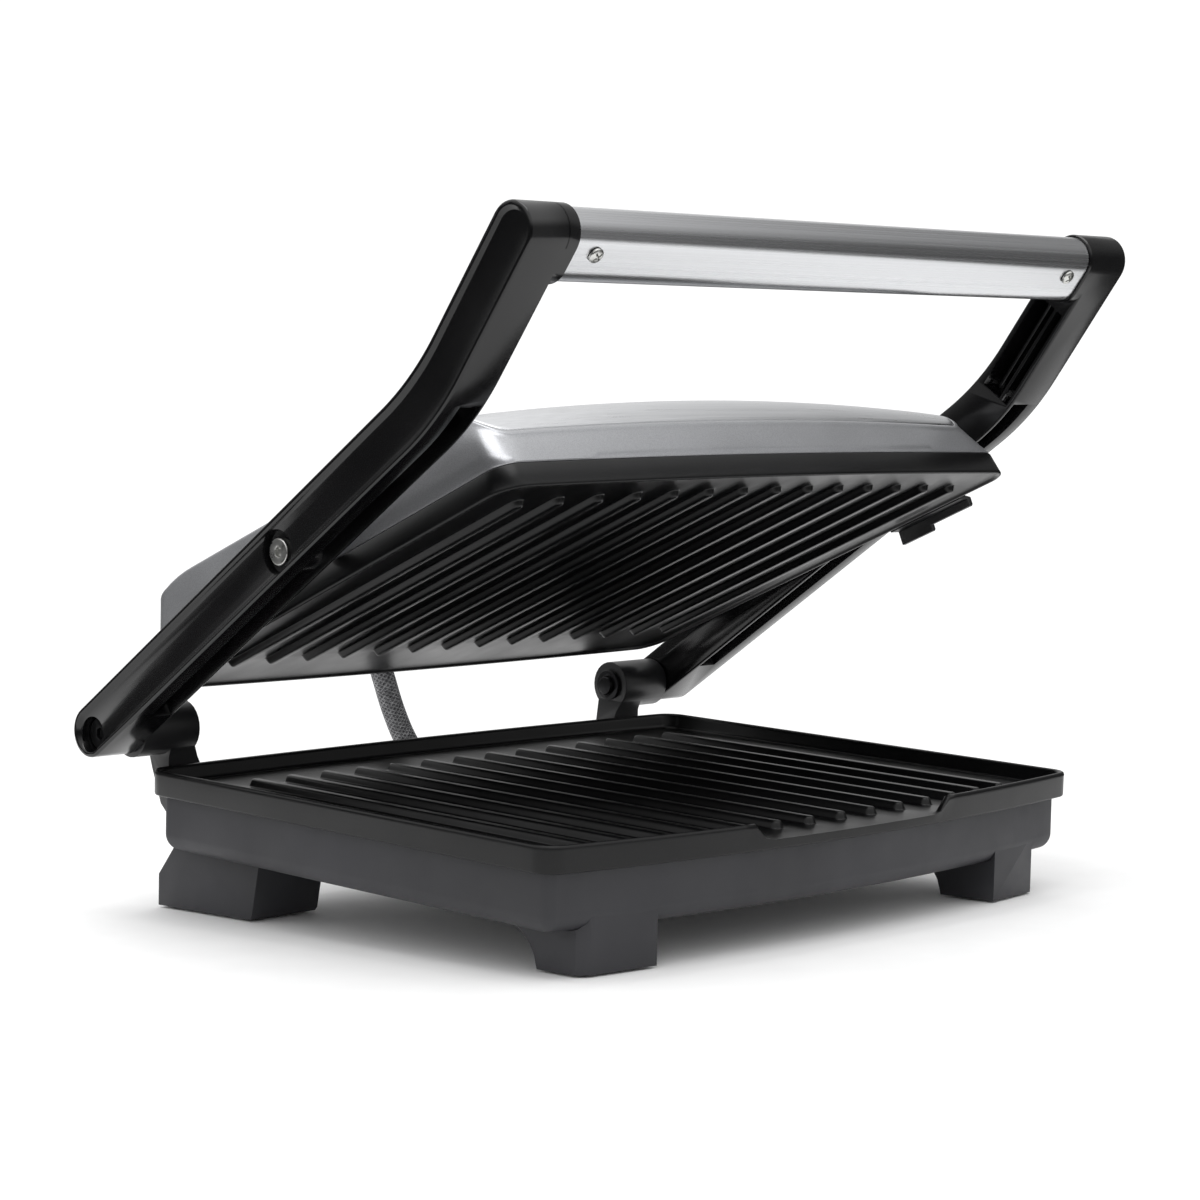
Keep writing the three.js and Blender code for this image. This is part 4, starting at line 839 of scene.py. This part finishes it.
def handle_screws():
    """Pan-headed screws with a cross slot, square to the handle's front face."""
    seat = TUBE_INSET - 0.3
    y, z = on_upper(SCREW_ALONG, UPPER_FAR)
    axis = Vector((0, math.sin(CLIMB), math.cos(CLIMB)))
    crown = [(SCREW_HEAD * math.sin(a), seat - 1.6 + SCREW_CROWN * (1 - math.cos(a)))
             for a in arc(6, 90, 8)]
    profile = [*crown, (SCREW_HEAD, seat), (SCREW_SHANK, seat), (SCREW_SHANK, 8)]
    for side, sign in SIDES:
        centre = (sign * SCREW_X, y, z)
        made = mesh_object("handle_cross_screw_" + side, turned(profile, centre, axis, 40), ARMS)
        for turn in (45, 135):
            upright = Vector((0, 0, 1)).rotation_difference(axis).to_matrix().to_4x4()
            spin = Matrix.Translation(centre) @ upright
            spin = spin @ Matrix.Rotation(math.radians(turn), 4, "Z")
            slot = block((-2.0, 2.0), (-0.38, 0.38), (seat - 3, seat - 0.75))
            combine(made, slot, ARMS @ spin)
        soften(made, 0.08, 50, 1)
        settle(made, "arms", "plated_steel", "handle_screw_" + side)


# --- Lid ---
def top_height(x, y):
    """Crowned top: a slope behind the front edge, then an easy rise that rounds down at the rear."""
    distance = y - LID_PLAN.edge(-1, x)
    to_rear = LID_PLAN.edge(1, x) - REAR_EDGE - y
    share = np.clip((distance - SLOPE_START) / (CREST_DISTANCE - SLOPE_START), 0, 1)
    eased = (1 + SLOPE_EASE) * share - SLOPE_EASE * share ** 2
    slope = SLOPE_LOW + (SLOPE_HIGH - SLOPE_LOW) * eased
    rise = RISE_HEIGHT * np.clip((distance - CREST_DISTANCE) / RISE_LENGTH, 0, 1)
    fall = REAR_FALL * np.clip(1 - to_rear / REAR_FALL_LENGTH, 0, 1) ** 2
    crown = START_CROWN + (CREST_CROWN - START_CROWN) * share
    return lid_level(slope + rise - fall - crown * (x / CROWN_AT) ** 2)


def below_top(drop):
    return lambda x, y: top_height(x, y) - drop


def lid_shell():
    foot = LID_PLAN.ring(SHELL_FOOT_INSET, lid_level(SHELL_FOOT))
    shoulder = SEAM_PLAN.ring(-0.4, below_top(1.2))
    wall = [foot + share * (shoulder - foot) for share in (0.04, 0.3, 0.6, 0.9)]
    rings = [LID_PLAN.ring(SHELL_FOOT_INSET + 0.4, lid_level(SHELL_FOOT)), *wall, shoulder,
             SEAM_PLAN.ring(-0.25, below_top(0.55)), SEAM_PLAN.ring(-0.05, below_top(0.15)),
             SEAM_PLAN.ring(0.3, top_height), SEAM_PLAN.ring(SEAM_LIP - 0.2, top_height),
             SEAM_PLAN.ring(SEAM_LIP, below_top(0.2)), SEAM_PLAN.ring(SEAM_LIP, below_top(SEAT_DEPTH)),
             SEAM_PLAN.ring(SEAT_WIDTH, below_top(SEAT_DEPTH)),
             SEAM_PLAN.ring(SEAT_WIDTH, below_top(SEAT_DEPTH + 2)),
             SEAM_PLAN.ring(SHELL_WALL, below_top(SEAT_DEPTH + 2.6)),
             LID_PLAN.ring(SHELL_FOOT_INSET + SHELL_WALL, lid_level(SHELL_FOOT))]
    made = mesh_object("lid_skirt", loft(rings, ends=False), LID)
    half = LID_PLAN.half_width
    holes = [along_x(2.9, (half - 12, half + 5), 0, 0, sign, 24) for _, sign in SIDES]
    holes.append(turned([(CONDUIT_HOLE, 0), (CONDUIT_HOLE, 25)],
                        (CONDUIT_LID[0], 110, lid_level(CONDUIT_LID[1])), (0, 1, 0), 32))
    combine(made, merge(*holes), LID)
    settle(made, "lid", "silver_shell", "lid_shell", angle=42)


def lid_top_panel():
    edge = SEAM_LIP + SEAM_GAP
    insets = (0.35, 1.5, 3, 5, 7.5, 10, 12.5, 15, 17.5, 20, 22.5, 25, 28, 34, 44, 58, 74, 90, 102)
    under = [SEAM_PLAN.ring(edge + inset, below_top(PANEL_THICKNESS - PANEL_PROUD)) for inset in insets]
    over = [SEAM_PLAN.ring(edge + inset, below_top(-PANEL_PROUD)) for inset in insets]
    sides = [SEAM_PLAN.ring(edge, below_top(PANEL_THICKNESS - PANEL_PROUD - 0.3)),
             SEAM_PLAN.ring(edge, below_top(0.25)), SEAM_PLAN.ring(edge + 0.1, below_top(0.0))]
    made = mesh_object("lid_cover_panel", loft([*under[::-1], *sides, *over]), LID)
    holes = [turned([(LENS_RADIUS + 0.3, 0), (LENS_RADIUS + 0.3, 60)], (x, y, 0), (0, 0, 1), 32)
             for x, y, _ in LENSES]
    combine(made, merge(*holes), LID)
    settle(made, "lid", "silver_panel", "lid_top_panel", angle=30)


def indicator_lenses():
    """Domed lenses with a flange under the panel."""
    for (x, y, name), slot in zip(LENSES, ("red_lens", "green_lens")):
        top = float(top_height(x, y))
        dome = [(LENS_RADIUS * math.cos(a), top + 0.5 + 0.7 * math.sin(a)) for a in arc(0, 86, 8)]
        profile = [(5, top - 5), (5, top - 2.9), (LENS_RADIUS, top - 2.8), *dome]
        made = mesh_object(name + "_indicator", turned(profile, (x, y, 0), (0, 0, 1), 36), LID)
        settle(made, "lid", slot, name + "_lens")


def pivot_bolts():
    """Shouldered bolts whose heads sit in the arms' recesses, with a six-sided socket."""
    seat, top = ARM_OUTER - 5.2, ARM_OUTER - 2.2
    head = [(BOLT_HEAD - BOLT_ROUND * (1 - math.sin(a)), top - BOLT_ROUND + BOLT_ROUND * math.cos(a))
            for a in arc(0, 90, 5)]
    profile = [(BOLT_SHANK, BOLT_START), (BOLT_SHANK, seat), (BOLT_HEAD, seat), *head[::-1],
               (BOLT_SHANK, top)]
    for side, sign in SIDES:
        made = mesh_object("pivot_bolt_turned_" + side, turned(
            [(radius, sign * x) for radius, x in profile], (0, 0, 0), (1, 0, 0), 40), LID)
        combine(made, turned([(BOLT_SOCKET, sign * (ARM_OUTER - 4)), (BOLT_SOCKET, sign * ARM_OUTER)],
                             (0, 0, 0), (1, 0, 0), 6), LID)
        soften(made, 0.12, 50)
        settle(made, "lid", "plated_steel", "pivot_bolt_" + side)


# --- Lead between base and lid: a braided sleeve in two lengths that meet at the hinge line ---
def smooth_route(points):
    """Even points along a centripetal Catmull-Rom curve through the route."""
    route = [np.array(p, float) for p in points]
    route = [2 * route[0] - route[1], *route, 2 * route[-1] - route[-2]]
    dense = []
    for p0, p1, p2, p3 in zip(route, route[1:], route[2:], route[3:]):
        t1 = np.linalg.norm(p1 - p0) ** 0.5
        t2 = t1 + np.linalg.norm(p2 - p1) ** 0.5
        t3 = t2 + np.linalg.norm(p3 - p2) ** 0.5
        for t in np.linspace(t1, t2, 40, endpoint=False):
            a1 = (p1 * t + p0 * (t1 - t)) / t1
            a2 = (p1 * (t2 - t) + p2 * (t - t1)) / (t2 - t1)
            a3 = (p2 * (t3 - t) + p3 * (t - t2)) / (t3 - t2)
            b1 = (a1 * (t2 - t) + a2 * t) / t2
            b2 = (a2 * (t3 - t) + a3 * (t - t1)) / (t3 - t1)
            dense.append((b1 * (t2 - t) + b2 * (t - t1)) / (t2 - t1))
    dense = np.array([*dense, route[-2]])
    run = np.concatenate([[0], np.cumsum(np.linalg.norm(np.diff(dense, axis=0), axis=1))])
    even = np.linspace(0, run[-1], int(run[-1] / ROUTE_STEP) + 1)
    return np.column_stack([np.interp(even, run, dense[:, i]) for i in range(3)])


def sleeve(name, route, radius, sides=32):
    """Round tube with its UV: u once round, and v counting the braid's strands along it."""
    line = smooth_route(route)
    heading = np.gradient(line, axis=0)
    heading /= np.linalg.norm(heading, axis=1)[:, None]
    across = np.cross(heading[0], (1, 0, 0))
    rings = []
    angles = np.linspace(0, 2 * math.pi, sides, endpoint=False)
    for point, forward in zip(line, heading):
        across = across - forward * across.dot(forward)
        across /= np.linalg.norm(across)
        other = np.cross(forward, across)
        rings.append(point + radius * (np.outer(np.cos(angles), across) + np.outer(np.sin(angles), other)))
    made = mesh_object(name, loft(rings), BASE)
    uv = made.data.uv_layers.new(name="UVMap")
    for face in made.data.polygons:
        around = [made.data.loops[i].vertex_index % sides for i in face.loop_indices]
        wraps = max(around) - min(around) > sides / 2
        for i, turn in zip(face.loop_indices, around):
            level = made.data.loops[i].vertex_index // sides
            share = (turn + (sides if wraps and turn < sides / 2 else 0)) / sides
            uv.data[i].uv = (share, level * STRANDS_PER_STEP)
    return made


def conduits():
    to_base = BASE.inverted() @ LID
    rear_wall = BASE_PLAN.rear - CASING_INSET
    lid_rear = LID_PLAN.rear - SHELL_FOOT_INSET

    def lid_exit(depth):
        return to_base @ Vector((CONDUIT_LID[0], lid_rear + depth, lid_level(CONDUIT_LID[1])))

    def along_meeting(distance):
        return CONDUIT_MEETING + distance * CONDUIT_HEADING

    def base_entry(depth):
        return Vector((CONDUIT_BASE[0], rear_wall + depth, CONDUIT_BASE[1]))

    upper = [lid_exit(-3), lid_exit(4), lid_exit(8), (-6, 144.8, 91), (-5.8, 144, 83),
             along_meeting(-3), along_meeting(0.25)]
    lower = [along_meeting(0.25), along_meeting(3.5), (-0.8, 141, 64.5), (3.5, 139.4, 54),
             (8.6, 137, 44.5), (12.4, 132, 37.5), base_entry(6), base_entry(2), base_entry(-3)]
    radius = CONDUIT_RADIUS * CONDUIT_FIT
    for name, route, bodies, node in (
            ("conduit_sleeve_upper", upper, ("lid", "arms"), "conduit_upper"),
            ("conduit_sleeve_lower", lower, ("arms", "base"), "conduit_lower")):
        made = sleeve(name, route, radius)
        settle(made, None, "braided_sleeve", node)
        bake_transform(made)


# --- Pieces whose CAD shape is right: rounded edges and their own finish ---
def fittings():
    for node, slot, width in (
            ("latch_guide", "black_plastic", 0.35), ("latch_slider", "black_plastic", 0.9),
            ("mains_inlet_gland", "black_plastic", 0.5), ("conduit_bushing_lower", "black_plastic", 0.5),
            ("conduit_bushing_upper", "black_plastic", 0.5), ("terminal_block", "ceramic", 0.4),
            ("thermal_fuse", "ceramic", 0.2), ("lower_thermostat", "ceramic", 0.3),
            ("upper_thermostat", "ceramic", 0.3), ("lower_heating_element", "heater_sheath", 0.3),
            ("upper_heating_element", "heater_sheath", 0.3), ("lower_reflector", "sheet_aluminium", 0.2),
            ("upper_reflector", "sheet_aluminium", 0.2)):
        refined(node, slot, width)
    for side, _ in SIDES:
        for node, slot, width in (
                ("hinge_bracket", "black_plastic", 0.8), ("hinge_pin", "blackened_steel", 0.3),
                ("hinge_clip", "blackened_steel", 0.2), ("pivot_bush", "blackened_steel", 0.2),
                ("pivot_bracket", "plated_steel", 0.2), ("pivot_nut", "plated_steel", 0.3)):
            refined(f"{node}_{side}", slot, width)


# --- Stage, light and camera ---
CAMERA_AZIMUTH, CAMERA_DOWN, CAMERA_ROLL = -45.051, 3.236, -0.612
CAMERA_TARGET = Vector((2.49, 4.34, 124.37)) * MM
CAMERA_DISTANCE, CAMERA_LENS, SENSOR_WIDTH = 1.25, 90.88, 36
FLOOR_RADIUS = 0.6
AMBIENT, CEILING_GLOW = 1.12, 1.1
LEFT_HORIZON, FRONT_HORIZON, REAR_GLOW, RIGHT_SHARE = 0.05, 0.36, 0.75, 0.15
SOFTBOX_PLACE, SOFTBOX_SIZE, SOFTBOX_POWER = (-0.3, -0.1, 1.8), (1.4, 1.0), 12


def stage():
    steps = arc(0, 360, 96)[:-1]
    rim = [(FLOOR_RADIUS * math.cos(a), FLOOR_RADIUS * math.sin(a), 0) for a in steps]
    mesh = bpy.data.meshes.new("floor")
    mesh.from_pydata(rim, [], [tuple(range(len(rim)))])
    floor = bpy.data.objects.new("floor", mesh)
    bpy.context.scene.collection.objects.link(floor)
    paper = Finish("studio_paper")
    paper.colour(paper.blend(paper.span(paper.noise(40, 3), 0, 1), "#f6f6f6", "#f9f9f9"))
    paper.roughness(paper.span(paper.noise(120, 3), 0.8, 0.9))
    mesh.materials.append(paper.material)


def softbox(name, place, aim, size, power):
    data = bpy.data.lights.new(name, "AREA")
    data.shape, data.size, data.size_y, data.energy = "RECTANGLE", *size, power
    light = bpy.data.objects.new(name, data)
    light.location = place
    light.rotation_euler = (Vector(aim) - Vector(place)).to_track_quat("-Z", "Y").to_euler()
    bpy.context.scene.collection.objects.link(light)


def studio():
    """White surroundings to the eye and to matt surfaces. Reflections see a bright ceiling
    that falls off towards a dim horizon and the dark right-hand side."""
    world = bpy.data.worlds.new("studio")
    bpy.context.scene.world = world
    world.use_nodes = True
    tree = world.node_tree
    background = tree.nodes["Background"]

    def ranged(value, low, high, source):
        made = tree.nodes.new("ShaderNodeMapRange")
        made.interpolation_type = "SMOOTHSTEP"
        for socket, number in zip(("From Min", "From Max", "To Min", "To Max"), (*source, low, high)):
            made.inputs[socket].default_value = number
        tree.links.new(value, made.inputs["Value"])
        return made.outputs["Result"]

    def maths(operation, first, second):
        made = tree.nodes.new("ShaderNodeMath")
        made.operation = operation
        for socket, value in zip(made.inputs, (first, second)):
            if isinstance(value, (int, float)):
                socket.default_value = value
            else:
                tree.links.new(value, socket)
        return made.outputs[0]

    direction = tree.nodes.new("ShaderNodeSeparateXYZ")
    tree.links.new(tree.nodes.new("ShaderNodeTexCoord").outputs["Generated"], direction.inputs[0])
    x, y, z = (direction.outputs[axis] for axis in "XYZ")
    horizon = ranged(x, LEFT_HORIZON, FRONT_HORIZON, (0.0, 0.6))
    above = ranged(z, 0.0, 1.0, (0.08, 0.55))
    ceiling = maths("ADD", horizon, maths("MULTIPLY", above, CEILING_GLOW))
    behind = maths("MULTIPLY", ranged(x, 0.0, REAR_GLOW, (-0.4, 0.2)), ranged(y, 0.0, 1.0, (0.2, 0.6)))
    rear = maths("MULTIPLY", behind, ranged(z, 0.0, 1.0, (0.03, 0.16)))
    right = ranged(x, 1.0, RIGHT_SHARE, (0.57, 0.77))
    # the rear's low glow shows wherever it is the brighter
    reflected = maths("MAXIMUM", maths("MULTIPLY", ceiling, right), rear)
    path = tree.nodes.new("ShaderNodeLightPath")
    glossy = path.outputs["Is Glossy Ray"]
    matt = maths("MULTIPLY", maths("SUBTRACT", 1.0, glossy), AMBIENT)
    tree.links.new(maths("ADD", maths("MULTIPLY", reflected, glossy), matt), background.inputs["Strength"])
    background.inputs["Color"].default_value = (1, 1, 1, 1)
    softbox("overhead", SOFTBOX_PLACE, (0, 0, 0), SOFTBOX_SIZE, SOFTBOX_POWER)


def camera():
    data = bpy.data.cameras.new("camera")
    data.lens, data.sensor_width = CAMERA_LENS, SENSOR_WIDTH
    made = bpy.data.objects.new("camera", data)
    turn = (Matrix.Rotation(math.radians(CAMERA_AZIMUTH), 4, "Z")
            @ Matrix.Rotation(math.radians(90 - CAMERA_DOWN), 4, "X")
            @ Matrix.Rotation(math.radians(CAMERA_ROLL), 4, "Z"))
    made.matrix_world = (Matrix.Translation(CAMERA_TARGET) @ turn
                         @ Matrix.Translation((0, 0, CAMERA_DISTANCE)))
    bpy.context.scene.collection.objects.link(made)
    bpy.context.scene.camera = made


bpy.context.scene.view_settings.view_transform = "Standard"
camera()
stage()
studio()
lower_grill_plate()
upper_grill_plate()
base_casing()
feet()
for side_name, side_sign in SIDES:
    arm(side_name, side_sign)
handle_tube()
handle_screws()
lid_shell()
lid_top_panel()
indicator_lenses()
pivot_bolts()
conduits()
fittings()
